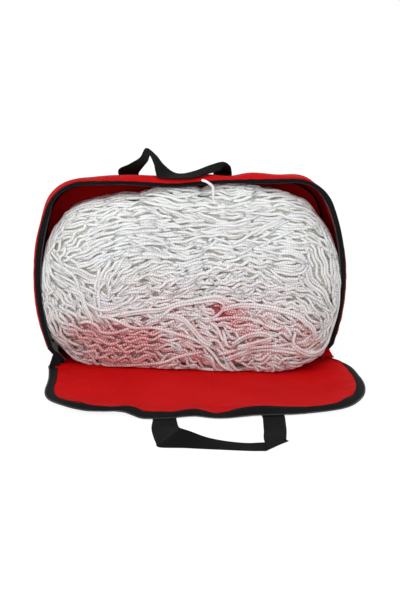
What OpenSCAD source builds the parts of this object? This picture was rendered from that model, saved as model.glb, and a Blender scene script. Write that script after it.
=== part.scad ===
// A soft zipped carry bag that stands on its base, with its front flap let down
// and a bundled sports net inside. Frame: millimetres, +X right, -Y towards the
// opening, +Z up, origin in the middle of the base, on the surface it stands on.

/* [Bag] */
// Depth of the bag's base, front to back
bag_depth = 210; // [185:1:235]
// Half of the opening's widest width
rim_half = 292; // [282:1:304]
// Height of the opening, along its own slope
rim_top = 343; // [334:1:352]
// Height at which the sides are widest
rim_mid = 162; // [150:1:172]
// Radius of the bowed sides
side_r = 385; // [350:1:430]
// Radius of the two upper corners
corner_r = 77; // [66:1:88]
// Half width of the base on the floor
foot_half = 246; // [238:1:252]
// Lean of the opening, backwards
front_lean = 7; // [5:0.5:9]
// Lean of the back panel, forwards
back_lean = 3; // [1:0.5:5]
// Step from the flap's hinge back to the opening
rim_setback = 10; // [10:0.5:14]
// How far the filled top stands proud of the opening
top_bulge = 10; // [6:0.5:13]
// How far the filled sides stand proud of the opening
side_bulge = 4; // [2:0.5:6]
// How much lower the top is at the back
top_drop = 28; // [20:1:34]
// How much narrower each side is at the back
side_drop = 14; // [8:1:20]
// Dip of the top edge under the rear handle
sag_depth = 6; // [3:0.5:7]
// Middle of that dip, from the bag's middle
sag_x = -32; // [-45:1:-20]
// Half length of that dip
sag_half = 62; // [50:1:75]

/* [Cloth] */
// Thickness of the bag's cloth walls with their lining
wall = 2; // [1.4:0.1:2.6]
// Thickness of the base with its lining
base_t = 3; // [2.8:0.1:3.6]
// Thickness of the flap
flap_t = 2; // [1.8:0.1:2.4]
// Radius of the cloth fold that the flap hinges on
fold_r = 1.3; // [1.2:0.05:1.3]
// Width of the binding on the inner back seam
binding_w = 16; // [12:1:20]
// Thickness of that binding
binding_t = 1.2; // [0.8:0.1:1.6]

/* [Flap] */
// Half width of the flap to the left of the middle
flap_left = 273; // [264:1:280]
// Half width of the flap to the right of the middle
flap_right = 299; // [288:1:302]
// Length of the flap from its hinge
flap_len = 331; // [320:1:331]
// Height above the hinge at which the flap is widest
flap_mid = 165; // [150:1:175]
// Radius of the flap's two free corners
flap_corner_r = 96; // [84:1:104]
// Radius of the flap's bowed sides
flap_side_r = 620; // [520:5:760]
// Height of the waves in the flap's free edge
hem_wave = 5; // [2:0.5:6]
// Number of waves along the flap's free edge
hem_waves = 3.5; // [2.5:0.5:4.5]
// How far in from the free edge the waves reach
hem_reach = 70; // [50:1:80]

/* [Zip] */
// Width of each half of the zip tape on the flap
tape_w = 14; // [12:0.5:16]
// Thickness of the zip tape
tape_t = 1.2; // [1:0.1:1.4]
// Width of the body's tape that lies in the plane of the opening
tape_flat = 9; // [8:0.5:10]
// Depth over which the body's tape turns to meet the boxing
tape_turn = 8; // [6:0.5:10]
// Width of each row of teeth
teeth_w = 3; // [2.6:0.1:3.2]
// Thickness of each row of teeth
teeth_t = 2.6; // [2.2:0.1:2.8]
// Length of each slider
slider_l = 14; // [12:0.5:16]
// Width of each slider
slider_w = 10; // [9:0.5:10]
// Thickness of each slider's two plates
plate_t = 1; // [0.8:0.1:1.1]
// Gap between those plates
plate_gap = 3.2; // [3.2:0.1:3.4]
// Width of the post between a slider's plates
post_w = 1.8; // [1.4:0.1:2.2]
// Room under a slider's bridge for its tab
bridge_gap = 2.2; // [2:0.1:2.3]
// Width of a slider's bridge
bridge_w = 3; // [2.4:0.1:3.2]
// Thickness of the bridge's legs
leg_t = 1; // [0.8:0.1:1.2]
// Height of the sliders when the zip is open
slider_rest = 34; // [32:1:40]
// Length of each pull tab
tab_l = 20; // [16:1:22]
// Width of each pull tab
tab_w = 6; // [5:0.5:7]
// Thickness of each pull tab
tab_t = 1; // [0.8:0.1:1.1]
// Radius of the hole in each pull tab
tab_hole_r = 1.4; // [1:0.1:1.8]

/* [Handles] */
// Width of the webbing
webbing_w = 38; // [36:1:40]
// Thickness of the webbing
webbing_t = 1.6; // [1.4:0.1:1.6]
// Length of each sewn end of the webbing
sewn_l = 62; // [50:1:75]
// Distance between the middles of the front handle's two ends
front_spread = 175; // [172:1:178]
// Middle of the front handle, from the bag's middle
front_mid = 28.5; // [26:0.5:31]
// Distance between the middles of the rear handle's two ends
rear_spread = 177; // [174:1:180]
// Middle of the rear handle, from the bag's middle
rear_mid = -16.5; // [-19:0.5:-14]
// Distance from the height of the opening's top down to the rear handle's pivot
rear_pivot_down = 39.9; // [39.7:0.1:39.9]

/* [Net] */
// Clearance between the net and the teeth that it is drawn past
net_gap = 7.5; // [7.5:0.5:10]
// Clearance between the net and the base that carries it
net_lift = 0.3; // [0.2:0.05:0.4]
// Clearance between the net and the back panel
net_back_gap = 8; // [4:1:20]
// How far the net stands proud of the opening
net_proud = 5; // [0:0.5:6]
// Depth of the hollows between the net's folds
net_fold = 8; // [4:0.5:10]
// How far the net spills out of the opening at its top
spill_top = 10; // [8:1:14]
// How far it spills out at the opening's mid height
spill_mid = 36; // [25:1:40]
// How far it spills over the sill at the left
spill_left = 26; // [20:1:40]
// How far it spills over the sill at the right
spill_right = 97; // [60:1:100]
// Diameter of the net's cord
net_cord_d = 5; // [4:0.5:6]

/* [Hidden] */
cloth_red = "firebrick";
lining_red = "crimson";
trim_black = "#202024";
metal_black = "#3a3a40";
net_white = "whitesmoke";
run_gap = 0.3;                       // running clearance between soft pieces
hinge_y = -bag_depth / 2;            // the line that the flap folds on
rim_y = hinge_y + rim_setback;       // foot of the opening's plane
seam_y = rim_y + tape_turn;          // foot of the seam between tape and boxing
back_y = bag_depth / 2;              // foot of the back panel's plane
rear_pivot_s = rim_top - rear_pivot_down;
teeth_in = tape_flat + teeth_w;      // from the rim's outline to the teeth's inner edge
net_in = teeth_in + net_gap;         // from the rim's outline to the net's
sewn_gap = 0.1;                      // room between pieces that are sewn together
hem_z = webbing_t + sewn_gap;        // underside of the flap's hem, above the webbing
over_reach = 44;                     // how far beyond the webbing it lifts the flap
over_slope = 30;                     // length of the slope down to the floor
low_s = 28;                          // where the bowed sides start, above the foot
foot_s = (base_t + 0.02) / cos(front_lean);  // where what stands on the base starts
SIDE_POINTS = 8;                     // points along each bowed side of an outline
CORNER_POINTS = 6;                   // points round each upper corner
TOP_POINTS = 5;                      // points along each half of the top

// ---- outlines -------------------------------------------------------------
function lerp(a, b, f) = a + (b - a) * f;
function smooth(f) = let (c = min(1, max(0, f))) c * c * (3 - 2 * c);

// The dip in the top edge, felt only near the top
function dip(x, s, top) =
  sag_depth * exp(-pow((x - sag_x) / sag_half, 2)) * smooth((s - top + 90) / 90);

// One half of an arch, from its foot to the middle of its top, as [x, s]: a
// bowed side, a round corner and a straight top. `grow` moves it outwards, and
// `start` is the height of its foot.
function half_arch(half, top, foot, mid, bow, corner, grow, start) =
  let (
    cx = half - bow,
    kx = cx + sqrt(pow(bow - corner, 2) - pow(top - corner - mid, 2)),
    ks = top - corner,
    r = bow + grow,
    c = corner + grow,
    a0 = asin((low_s - mid) / bow),
    a1 = atan2(ks - mid, kx - cx)
  ) concat(
    [[foot + grow, start]],
    [for (i = [1:SIDE_POINTS]) let (a = lerp(a0, a1, (i - 1) / (SIDE_POINTS - 1)))
      [cx + r * cos(a), mid + r * sin(a)]],
    [for (i = [1:CORNER_POINTS]) let (a = lerp(a1, 90, i / CORNER_POINTS))
      [kx + c * cos(a), ks + c * sin(a)]],
    [for (i = [1:TOP_POINTS]) [kx * (1 - i / TOP_POINTS), top + grow]]
  );

function mirrored(half) =
  concat([for (p = half) [-p[0], p[1]]], [for (i = [len(half) - 2:-1:0]) half[i]]);

// The opening's outline, moved in or out by `grow` and dipped under the handle
function rim(grow = 0, foot = foot_s) = [
  for (p = mirrored(half_arch(rim_half, rim_top, foot_half, rim_mid, side_r, corner_r,
                              grow, foot)))
    [p[0], p[1] - dip(p[0], p[1], rim_top)]
];

// The bag's section at f: 0 at the seam behind the opening, 1 at the back panel
function swell(f) = sin(180 * pow(f, 0.4));
function section(f, grow = 0) =
  let (
    half = rim_half + side_bulge * swell(f) - side_drop * f * f,
    top = rim_top + top_bulge * swell(f) - top_drop * pow(f, 1.5),
    flat = mirrored(half_arch(half, top, foot_half, rim_mid, side_r,
                              corner_r, grow, foot_s))
  ) [for (p = flat) [p[0], p[1] - dip(p[0], p[1], top) * (1 - 0.8 * f)]];

// A point [x, s] of a plane that stands at y and leans back by `lean`
function stand(p, y, lean) = [p[0], y + p[1] * sin(lean), p[1] * cos(lean)];
function lean_at(f) = lerp(front_lean, -back_lean, f);
function y_at(f) = lerp(seam_y, back_y, f);

// The flap's outline on the floor, [x, distance from the hinge]. Its middle is
// off the bag's, because it lies a little to the right.
function flap_outline(grow = 0) =
  let (
    half = (flap_left + flap_right) / 2,
    shift = (flap_right - flap_left) / 2,
    arch = mirrored(half_arch(half, flap_len, half - 16, flap_mid, flap_side_r,
                              flap_corner_r, grow, fold_r))
  ) [for (p = arch) [p[0] + shift * min(1, p[1] / flap_mid), p[1]]];

// 1 over the webbing sewn under the hem at one side, and 0 away from it
function over(x, side) =
  smooth((webbing_w / 2 + over_reach - abs(x - front_mid - side * front_spread / 2)) /
         over_slope);

// Height of the flap's waves at a point of the floor, none over the webbing
function wave(x, v) =
  hem_wave * smooth((v - flap_len + hem_reach) / hem_reach) *
  pow(sin(180 * hem_waves * (x + flap_left) / (flap_left + flap_right)), 2) *
  (1 - max(over(x, -1), over(x, 1)));

// ---- closed strips and lofts ------------------------------------------------
// Joins equal rings of points into a solid, capped at the ends. `crossed` splits
// each quad along its other diagonal, as on a solid that this one lies against.
module skin(rings, crossed = false) {
  n = len(rings[0]);
  m = len(rings);
  points = [for (ring = rings) each ring];
  sides = [
    for (i = [0:m - 2]) for (j = [0:n - 1])
      let (a = i * n + j, b = i * n + (j + 1) % n, c = a + n, d = b + n)
        each crossed ? [[a, b, d], [a, d, c]] : [[a, b, c], [b, d, c]]
  ];
  first = [for (j = [1:n - 2]) [0, j + 1, j]];
  last = [for (j = [1:n - 2]) [(m - 1) * n, (m - 1) * n + j, (m - 1) * n + j + 1]];
  polyhedron(points, concat(sides, first, last));
}

// ---- the bag's body ---------------------------------------------------------
module base_panel() {
  color(cloth_red)
    translate([-foot_half, hinge_y + fold_r + run_gap, 0])
      cube([2 * foot_half, bag_depth - fold_r - run_gap + wall, base_t]);
}

// The boxing: one strip of cloth up the left side, over the top, down the right
module boxing_strip() {
  steps = 8;
  outer = [for (k = [0:steps]) section(pow(k / steps, 1.4))];
  inner = [for (k = [0:steps]) section(pow(k / steps, 1.4), -wall)];
  n = len(outer[0]);
  rings = [
    for (j = [0:n - 1]) concat(
      [for (k = [0:steps]) let (f = pow(k / steps, 1.4))
        stand(outer[k][j], y_at(f), lean_at(f))],
      [for (k = [steps:-1:0]) let (f = pow(k / steps, 1.4))
        stand(inner[k][j], y_at(f), lean_at(f))]
    )
  ];
  color(cloth_red) shell(rings, true);
}

// A skin whose rings are bent bands, so that its ends are capped as strips
module shell(rings, turned = false) {
  n = len(rings[0]);
  h = n / 2;
  m = len(rings);
  sides = [
    for (i = [0:m - 2]) for (j = [0:n - 1])
      let (a = i * n + j, b = i * n + (j + 1) % n, c = a + n, d = b + n)
        each [[a, c, b], [b, c, d]]
  ];
  first = [for (j = [0:h - 2]) each [[j, j + 1, n - 1 - j], [j + 1, n - 2 - j, n - 1 - j]]];
  o = (m - 1) * n;
  last = [for (j = [0:h - 2]) each [[o + j, o + n - 1 - j, o + j + 1],
                                    [o + j + 1, o + n - 1 - j, o + n - 2 - j]]];
  faces = concat(sides, first, last);
  polyhedron([for (ring = rings) each ring],
             turned ? [for (f = faces) [f[0], f[2], f[1]]] : faces);
}

// The back panel's plane: everything drawn flat as [x, s] and raised into it
module on_back(t) {
  translate([0, back_y, 0]) rotate([90 + back_lean, 0, 0])
    translate([0, 0, -t]) linear_extrude(t) children();
}

module back_panel() {
  color(cloth_red) on_back(wall) polygon(section(1));
}

// Tape sewn over the raw edges of the back seam, inside the bag
binding_out = -wall - 1.5 * run_gap;
module back_seam_binding() {
  f = 1 - binding_w / bag_depth;
  rings = [
    for (j = [1:len(section(1)) - 2]) let (
      near = section(f, binding_out), near_in = section(f, binding_out - binding_t),
      far = section(1, binding_out), far_in = section(1, binding_out - binding_t)
    ) [
      stand(near[j], y_at(f), lean_at(f)), stand(far[j], y_at(1), lean_at(1)),
      stand(far_in[j], y_at(1), lean_at(1)), stand(near_in[j], y_at(f), lean_at(f))
    ]
  ];
  color(trim_black) shell(rings, true);
}

// ---- the zip ----------------------------------------------------------------
// A strip round the opening. `profile` lists [inwards, y] from its outer edge.
module round_rim(front, back) {
  rings = [
    for (j = [0:len(rim()) - 1]) concat(
      [for (p = front) stand(rim(-p[0])[j], rim_y + p[1], front_lean)],
      [for (i = [len(back) - 1:-1:0])
        stand(rim(-back[i][0])[j], rim_y + back[i][1], front_lean)]
    )
  ];
  shell(rings);
}

module body_zip_tape() {
  half = tape_t / 2;
  color(trim_black) round_rim(
    [[0, tape_turn], [tape_flat / 2, -half], [tape_flat, -half]],
    [[wall, tape_turn], [tape_flat / 2 + half, half], [tape_flat, half]]
  );
}

module body_zip_teeth() {
  half = teeth_t / 2;
  color(metal_black) round_rim(
    [[tape_flat, -half], [teeth_in, -half]], [[tape_flat, half], [teeth_in, half]]
  );
}

// The sliders run on the bowed sides, about the centre of the bow. The body's
// teeth run down one channel of a slider, beside its post, and the flap's row
// runs down the other when the zip is closed.
bow_x = rim_half - side_r;
channel = (slider_w - post_w) / 4 + post_w / 2;
run_r = side_r - tape_flat - teeth_w / 2 - channel;
rest_a = asin((slider_rest - rim_mid) / side_r);

// Places a piece drawn at the origin, along +Y in the rim's plane, on the zip
module on_zip() {
  translate([0, rim_y, 0]) rotate([90 - front_lean, 0, 0])
    translate([bow_x, rim_mid, 0]) rotate([0, 0, rest_a]) translate([run_r, 0, 0])
      children();
}

bar_room = 0.85;                             // from the leg to the tab's cross bar
// Two plates with round shoulders, a post between them where the two rows part,
// and a bridge over the front plate that the pull tab hangs from
plate_z = plate_gap / 2;                     // inner face of the front plate
leg_y = -slider_l / 2 + 2.8;                 // underside of the bridge's lower leg
module slider() {
  for (z = [plate_z, -plate_z - plate_t])
    translate([0, 0, z]) linear_extrude(plate_t) slider_face();
  translate([0, slider_l / 2 - 3, -plate_z]) linear_extrude(plate_gap) polygon([
    [-0.3, 2.8], [0.3, 2.8], [post_w / 2, -0.4], [0, -3], [-post_w / 2, -0.4]
  ]);
  for (y = [leg_y, -leg_y - leg_t])
    translate([-bridge_w / 2, y, plate_z + plate_t]) cube([bridge_w, leg_t, bridge_gap]);
  translate([-bridge_w / 2, leg_y, plate_z + plate_t + bridge_gap])
    cube([bridge_w, -2 * leg_y, 0.8]);
}
module slider_face() {
  shoulder = slider_w / 2;
  hull() {
    translate([0, slider_l / 2 - shoulder]) circle(shoulder, $fn = 40);
    translate([-shoulder * 0.8, -slider_l / 2]) square([shoulder * 1.6, 1]);
  }
}
module right_slider() { color(metal_black) on_zip() slider(); }
module left_slider() { color(metal_black) mirror([1, 0, 0]) on_zip() slider(); }

// The tab hangs by its cross bar, which lies under the bridge and turns there,
// with an arm down each side of the bridge
tab_y = leg_y + leg_t + bar_room;            // middle of the cross bar
tab_z = plate_z + plate_t + bridge_gap / 2;
slot_l = 2.8;                                // from the bar's middle to the slot's end
module pull_tab() {
  translate([0, tab_y, tab_z - tab_t / 2]) linear_extrude(tab_t) difference() {
    hull() {
      translate([-tab_w / 2, 0]) square([tab_w, tab_t / 2]);
      translate([0, -tab_l + tab_w / 2]) circle(tab_w / 2, $fn = 32);
    }
    translate([-bridge_w / 2 - run_gap, -slot_l])
      square([bridge_w + 2 * run_gap, slot_l - tab_t / 2]);
    translate([0, -tab_l + tab_w / 2]) circle(tab_hole_r, $fn = 32);
  }
}
module right_pull_tab() { color(metal_black) on_zip() pull_tab(); }
module left_pull_tab() { color(metal_black) mirror([1, 0, 0]) on_zip() pull_tab(); }

// ---- the flap ---------------------------------------------------------------
function on_floor(p, z) = [p[0], hinge_y - p[1], z + wave(p[0], p[1])];

// How far the flap is lifted by the webbing sewn under it
function lift(x, v) =
  hem_z * max(over(x, -1), over(x, 1)) *
  smooth((v - flap_len + sewn_l + 2 * over_slope) / over_slope);

// The cloth, drawn as rows of points from the hinge to the free edge: a row for
// each point of the outline's sides and corners, the last along its free edge
module flap_panel() {
  edge = flap_outline(-teeth_w - tape_w);
  n = len(edge);
  rows = SIDE_POINTS + CORNER_POINTS;
  cols = 24;
  grid = [
    for (i = [0:rows]) let (l = edge[i], r = edge[n - 1 - i])
      [for (k = [0:cols]) [lerp(l[0], r[0], k / cols), lerp(l[1], r[1], k / cols)]]
  ];
  color(lining_red) cloth(grid);
}

module cloth(grid) {
  rows = len(grid) - 1;
  cols = len(grid[0]) - 1;
  low = [for (row = grid) each [for (p = row) on_floor(p, lift(p[0], p[1]))]];
  top = [for (p = low) [p[0], p[1], p[2] + flap_t]];
  w = cols + 1;
  o = (rows + 1) * w;
  tops = [
    for (i = [0:rows - 1]) for (k = [0:cols - 1])
      let (a = i * w + k, b = a + 1, c = a + w, d = c + 1) each [[a, b, c], [b, d, c]]
  ];
  flat = [for (f = tops) [f[0] + o, f[2] + o, f[1] + o]];
  ends = concat(
    [for (k = [0:cols - 1]) each [[k, k + o, k + 1], [k + 1, k + o, k + 1 + o]]],
    [for (k = [0:cols - 1]) let (a = rows * w + k)
      each [[a, a + 1, a + o], [a + 1, a + 1 + o, a + o]]],
    [for (i = [0:rows - 1]) let (a = i * w, c = a + w)
      each [[a, c, a + o], [c, c + o, a + o]]],
    [for (i = [0:rows - 1]) let (a = i * w + cols, c = a + w)
      each [[a, a + o, c], [c, a + o, c + o]]]
  );
  polyhedron(concat(top, low), concat(tops, flat, ends));
}

// The fold of cloth that joins the flap to the base and turns on the hinge line
module flap_hinge_fold() {
  color(lining_red) translate([-foot_half, hinge_y, fold_r]) rotate([0, 90, 0])
    cylinder(r = fold_r, h = 2 * foot_half, $fn = 48);
}

// A strip round the flap's three free edges, between two distances from its
// outline and two heights
module round_flap(out, in, low, high) {
  outer = flap_outline(-out);
  inner = flap_outline(-in);
  rings = [
    for (j = [0:len(outer) - 1])
      [on_floor(outer[j], low), on_floor(outer[j], high),
       on_floor(inner[j], high), on_floor(inner[j], low)]
  ];
  shell([for (r = rings) [r[0], r[3], r[2], r[1]]]);
}

module flap_zip_tape() {
  color(trim_black)
    round_flap(teeth_w, teeth_w + tape_w, hem_z, hem_z + tape_t);
}
module flap_zip_teeth() {
  color(metal_black)
    round_flap(0, teeth_w, hem_z, hem_z + teeth_t);
}

// ---- webbing ----------------------------------------------------------------
function unit(v) = v / norm(v);

// A point of a smooth curve through four points, between the middle two
function through(a, b, c, d, t) =
  0.5 * (2 * b + (c - a) * t + (2 * a - 5 * b + 4 * c - d) * t * t +
         (3 * b - a - 3 * c + d) * t * t * t);
function smoothed(list, n) = concat(
  [for (i = [0:len(list) - 2]) for (k = [0:n - 1])
    through(list[max(0, i - 1)], list[i], list[i + 1],
            list[min(len(list) - 1, i + 2)], k / n)],
  [list[len(list) - 1]]
);

// Webbing between two edges, one thickness through
module strap(left, right, t) {
  n = len(left);
  middle = [for (i = [0:n - 1]) (left[i] + right[i]) / 2];
  rings = [
    for (i = [0:n - 1]) let (
      along = middle[min(n - 1, i + 1)] - middle[max(0, i - 1)],
      up = unit(cross(along, right[i] - left[i])) * t / 2
    ) [left[i] - up, left[i] + up, right[i] + up, right[i] - up]
  ];
  skin(rings);
}

// The front handle's route on the floor, [x, distance from the hinge, height]:
// flat out of the hem, up on its edge round the left corner, flat again along
// the bar, then folded over at a slant into the right leg
z0 = webbing_t / 2 + 0.25;
pivot_v = flap_len + 1.9;
FRONT_LEFT_EDGE = [
  [-78, pivot_v, z0], [-78, 375, z0], [-77, 420, z0], [-75, 455, z0], [-66, 476, z0],
  [-45, 485, z0], [-15, 490, z0], [20, 495, z0], [55, 500, z0], [75, 500, z0]
];
FRONT_RIGHT_EDGE = [
  [-40, pivot_v, z0], [-40, 372, 2], [-41, 408, 10], [-47, 437, 18], [-49, 454, 26],
  [-35, 455, 21.5], [-8, 454, 10], [22, 458, 4], [55, 462, z0], [78, 462, z0]
];
FRONT_FOLD_LEFT = [
  [86, 500, 1.9], [86, 470, 2.9], [87, 440, 2.9], [91, 405, z0], [94, 370, z0],
  [97, pivot_v, z0]
];
FRONT_FOLD_RIGHT = [
  [124, 462, 1.9], [124.5, 455, 2.9], [125, 436, 2.9], [129, 405, z0], [132, 370, z0],
  [135, pivot_v, z0]
];
function laid(list) = [for (p = list) [p[0], hinge_y - p[1], p[2]]];

module front_handle() {
  color(trim_black) strap(
    laid(concat(smoothed(FRONT_LEFT_EDGE, 3), FRONT_FOLD_LEFT)),
    laid(concat(smoothed(FRONT_RIGHT_EDGE, 3), FRONT_FOLD_RIGHT)), webbing_t
  );
}

module front_sewn_end(side) {
  color(trim_black)
    translate([front_mid + side * front_spread / 2 - webbing_w / 2,
               hinge_y - pivot_v + webbing_t / 2 + sewn_gap / 2, 0])
      cube([webbing_w, sewn_l, webbing_t]);
}
module front_handle_end_left() { front_sewn_end(-1); }
module front_handle_end_right() { front_sewn_end(1); }

// The rear handle's route: up the back, over to a peak at the left, down to lie
// on the top of the bag, up again to the right and down behind. Its points are
// [x, y from the back's foot, z from the opening's top].
REAR_LEFT_EDGE = [
  [-124, -13, -40], [-127, -14, -20], [-126, -31, 2], [-108, -45, 20], [-89, -60, 38],
  [-77, -75, 52], [-60, -89, 39], [-46, -103, 23], [-30, -113, 12], [-12, -115, 7],
  [12, -115, 12], [38, -111, 20], [64, -99, 25], [84, -71, 15], [92, -33, -7],
  [91, -14, -23], [91, -13, -40]
];
REAR_RIGHT_EDGE = [
  [-86, -13, -40], [-89, -15, -23], [-92, -33, -9], [-85, -67, 9], [-76, -92, 24],
  [-71, -107, 32], [-63, -123, 19], [-61, -136, 11], [-46, -147, 4], [-24, -149, 2],
  [6, -147, 4], [38, -139, 10], [58, -125, 11], [56, -93, 12], [54, -39, -2],
  [53, -16, -17], [53, -13, -40]
];

function at_the_top(list) = [for (p = list) [p[0], back_y + p[1], rim_top + p[2]]];

module rear_handle() {
  color(trim_black)
    strap(smoothed(at_the_top(REAR_LEFT_EDGE), 2), smoothed(at_the_top(REAR_RIGHT_EDGE), 2),
          webbing_t);
}

module rear_sewn_end(side) {
  color(trim_black) translate([0, back_y, 0]) rotate([90 + back_lean, 0, 0])
    translate([rear_mid + side * rear_spread / 2 - webbing_w / 2,
               rear_pivot_s - webbing_t / 2 - sewn_gap / 2 - sewn_l, -wall - webbing_t])
      cube([webbing_w, sewn_l, webbing_t]);
}
module rear_handle_end_left() { rear_sewn_end(-1); }
module rear_handle_end_right() { rear_sewn_end(1); }

// ---- the net ----------------------------------------------------------------
// The bundle: a pillow whose rings follow the opening's own outline. It rounds
// over at the front and back, and is dented between its folds.
net_floor = base_t + net_lift;
net_front_y = rim_y - net_proud;
net_back_y = back_y - net_back_gap;
net_mid = rim_top * 0.45;
net_steps = 18;                      // rings from the front of the net to its back
NET_TIPS = [0.0001, 0.03];           // first two rings, as parts of a step
function fold_at(x, s) = 0.5 - 0.5 * sin(x * 1.9 + s * 2.6) * cos(s * 2.2 - x * 0.8);
function net_ring(turn) =
  let (
    a = pow(sin(turn), 0.22),
    c = cos(turn),
    f = 0.5 - 0.5 * sign(c) * pow(abs(c), 0.5),
    drop = 1 - top_drop / rim_top * pow(f, 1.5),
    edge = rim(-net_in, 0)
  ) [
    for (p = edge) let (
      dent = net_fold * fold_at(p[0], p[1] + 90 * f) * 0.5,
      x = p[0] * a * (1 - dent / rim_half),
      s = net_mid + (p[1] * drop - net_mid) * a * (1 - dent / rim_mid),
      y = lerp(net_front_y, net_back_y, f) +
          net_fold * fold_at(x * 1.7, s * 1.4) * smooth(1 - 4 * f) * smooth(2 * a),
      q = stand([x, s], y, lean_at(f))
    ) [q[0], q[1], max(net_floor, q[2])]
  ];

module net_bundle() {
  turns = concat([for (t = NET_TIPS) net_steps - t],
                 [for (i = [net_steps - 1:-1:1]) i], [NET_TIPS[1], NET_TIPS[0]]);
  color(net_white) skin([for (i = turns) net_ring(180 * i / net_steps)]);
}

// The soft front of the net, which spills out over the sill, most at the lower
// right, and is pressed back in when the flap is closed. It lies against the
// bundle: its back follows the bundle's front rings, and its front the same
// rings pushed forward.
SPILL_TURNS = [each NET_TIPS, 1, 2, 3, 4];
SPILL_EDGE = 5;                      // the ring where its back and front meet
function spill(x, s) =
  lerp(spill_top, spill_mid, smooth((300 - s) / 150)) +
  (lerp(spill_left, spill_right, smooth((x + 240) / 430)) - spill_mid) *
  smooth((130 - s) / 110) - net_proud;
function spill_ring(turn, forward) = [
  for (p = net_ring(180 * turn / net_steps)) let (
    round = forward * sqrt(1 - pow(turn / SPILL_EDGE, 3)),
    sag = 16 * round * smooth((90 - p[2]) / 70)
  ) [p[0] * (1 + 0.03 * round),
     p[1] - run_gap - round * spill(p[0], p[2]),
     max(net_floor, p[2] - sag)]
];
module net_spill() {
  m = len(SPILL_TURNS);
  color(net_white) skin(concat(
    [for (turn = SPILL_TURNS) spill_ring(turn, 0)],
    [spill_ring(SPILL_EDGE, 0)],
    [for (i = [m - 1:-1:0]) spill_ring(SPILL_TURNS[i], 1)]
  ), crossed = true);
}

// The one cord end that hangs out over the zip tape, as [x, y from the opening's
// foot, z from its top]
CORD_END = [
  [42, 39, -42.6], [42, 36, -29], [41.6, 34.6, -20], [41, 34, -13.5], [38, 33, -9],
  [33, 32, -5], [27, 32, -1.5], [20, 33, 0.5]
];
module loose_net_end() {
  path = smoothed([for (p = CORD_END) [p[0], rim_y + p[1], rim_top + p[2]]], 2);
  n = len(path);
  color(net_white) skin([
    for (i = [0:n - 1]) let (
      along = unit(path[min(n - 1, i + 1)] - path[max(0, i - 1)]),
      side = unit(cross(along, [0, 1, 0])),
      up = cross(side, along)
    ) [for (k = [0:7])
      path[i] + (side * cos(45 * k) + up * sin(45 * k)) * net_cord_d / 2]
  ]);
}

base_panel();
back_panel();
boxing_strip();
back_seam_binding();
body_zip_tape();
body_zip_teeth();
left_slider();
left_pull_tab();
right_slider();
right_pull_tab();
flap_panel();
flap_hinge_fold();
flap_zip_tape();
flap_zip_teeth();
front_handle_end_left();
front_handle_end_right();
front_handle();
rear_handle_end_left();
rear_handle_end_right();
rear_handle();
net_bundle();
net_spill();
loose_net_end();
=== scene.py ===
# %% [markdown]
# # A zipped carry bag with a sports net
# The real object is a soft red bag of woven polyester. Its front is a flap that
# a zip holds on three sides. The flap is let down, and the bag is full of one
# big bundle of white braided netting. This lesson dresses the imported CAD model
# of the bag, piece by piece, in the CAD model's own frame.

# %% Load the frame
import math

import bpy
import numpy as np
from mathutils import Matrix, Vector


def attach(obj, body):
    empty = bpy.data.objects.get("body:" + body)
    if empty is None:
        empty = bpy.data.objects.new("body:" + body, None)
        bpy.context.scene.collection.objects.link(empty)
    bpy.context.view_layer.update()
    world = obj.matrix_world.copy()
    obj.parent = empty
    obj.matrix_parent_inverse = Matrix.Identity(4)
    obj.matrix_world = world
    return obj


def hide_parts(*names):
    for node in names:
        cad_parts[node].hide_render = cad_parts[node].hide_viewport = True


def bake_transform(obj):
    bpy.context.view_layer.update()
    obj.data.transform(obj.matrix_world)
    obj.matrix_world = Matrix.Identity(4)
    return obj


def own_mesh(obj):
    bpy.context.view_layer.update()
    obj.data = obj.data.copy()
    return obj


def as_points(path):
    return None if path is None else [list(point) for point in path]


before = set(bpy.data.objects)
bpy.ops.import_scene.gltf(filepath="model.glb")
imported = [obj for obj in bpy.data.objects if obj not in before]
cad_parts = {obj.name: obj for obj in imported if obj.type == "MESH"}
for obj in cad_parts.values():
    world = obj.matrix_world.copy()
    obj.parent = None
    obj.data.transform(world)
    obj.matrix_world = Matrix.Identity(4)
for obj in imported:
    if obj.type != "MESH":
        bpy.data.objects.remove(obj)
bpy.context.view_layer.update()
MM = 0.001

# %% [markdown]
# ## The camera
# The bag is seen from a little above and from slightly to its left, from about
# three metres away, through a long lens that keeps the sides straight.

# %% Set the camera
VIEW_AT = Vector((0.007, -0.205, 0.150))
VIEW_AZIMUTH, VIEW_ELEVATION = math.radians(-4), math.radians(14)
VIEW_DISTANCE, VIEW_LENS = 3.0, 100.0


def set_camera():
    away = Vector((
        math.sin(VIEW_AZIMUTH) * math.cos(VIEW_ELEVATION),
        -math.cos(VIEW_AZIMUTH) * math.cos(VIEW_ELEVATION),
        math.sin(VIEW_ELEVATION),
    ))
    bpy.ops.object.camera_add(location=VIEW_AT + away * VIEW_DISTANCE)
    camera = bpy.context.object
    camera.rotation_euler = (-away).to_track_quat("-Z", "Y").to_euler()
    camera.data.lens = VIEW_LENS
    camera.data.sensor_width = 36.0
    camera.data.sensor_fit = "AUTO"
    camera.data.clip_end = 20.0
    bpy.context.scene.camera = camera


set_camera()

# %% [markdown]
# ## Shader maths as plain expressions
# Finishes are easier to read as formulas. `Value` wraps one socket, so that
# `1 - mask` or `a * b` adds the Math nodes that it needs. `Finish` holds one
# material and adds any other node from its type, settings and inputs.

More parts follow.
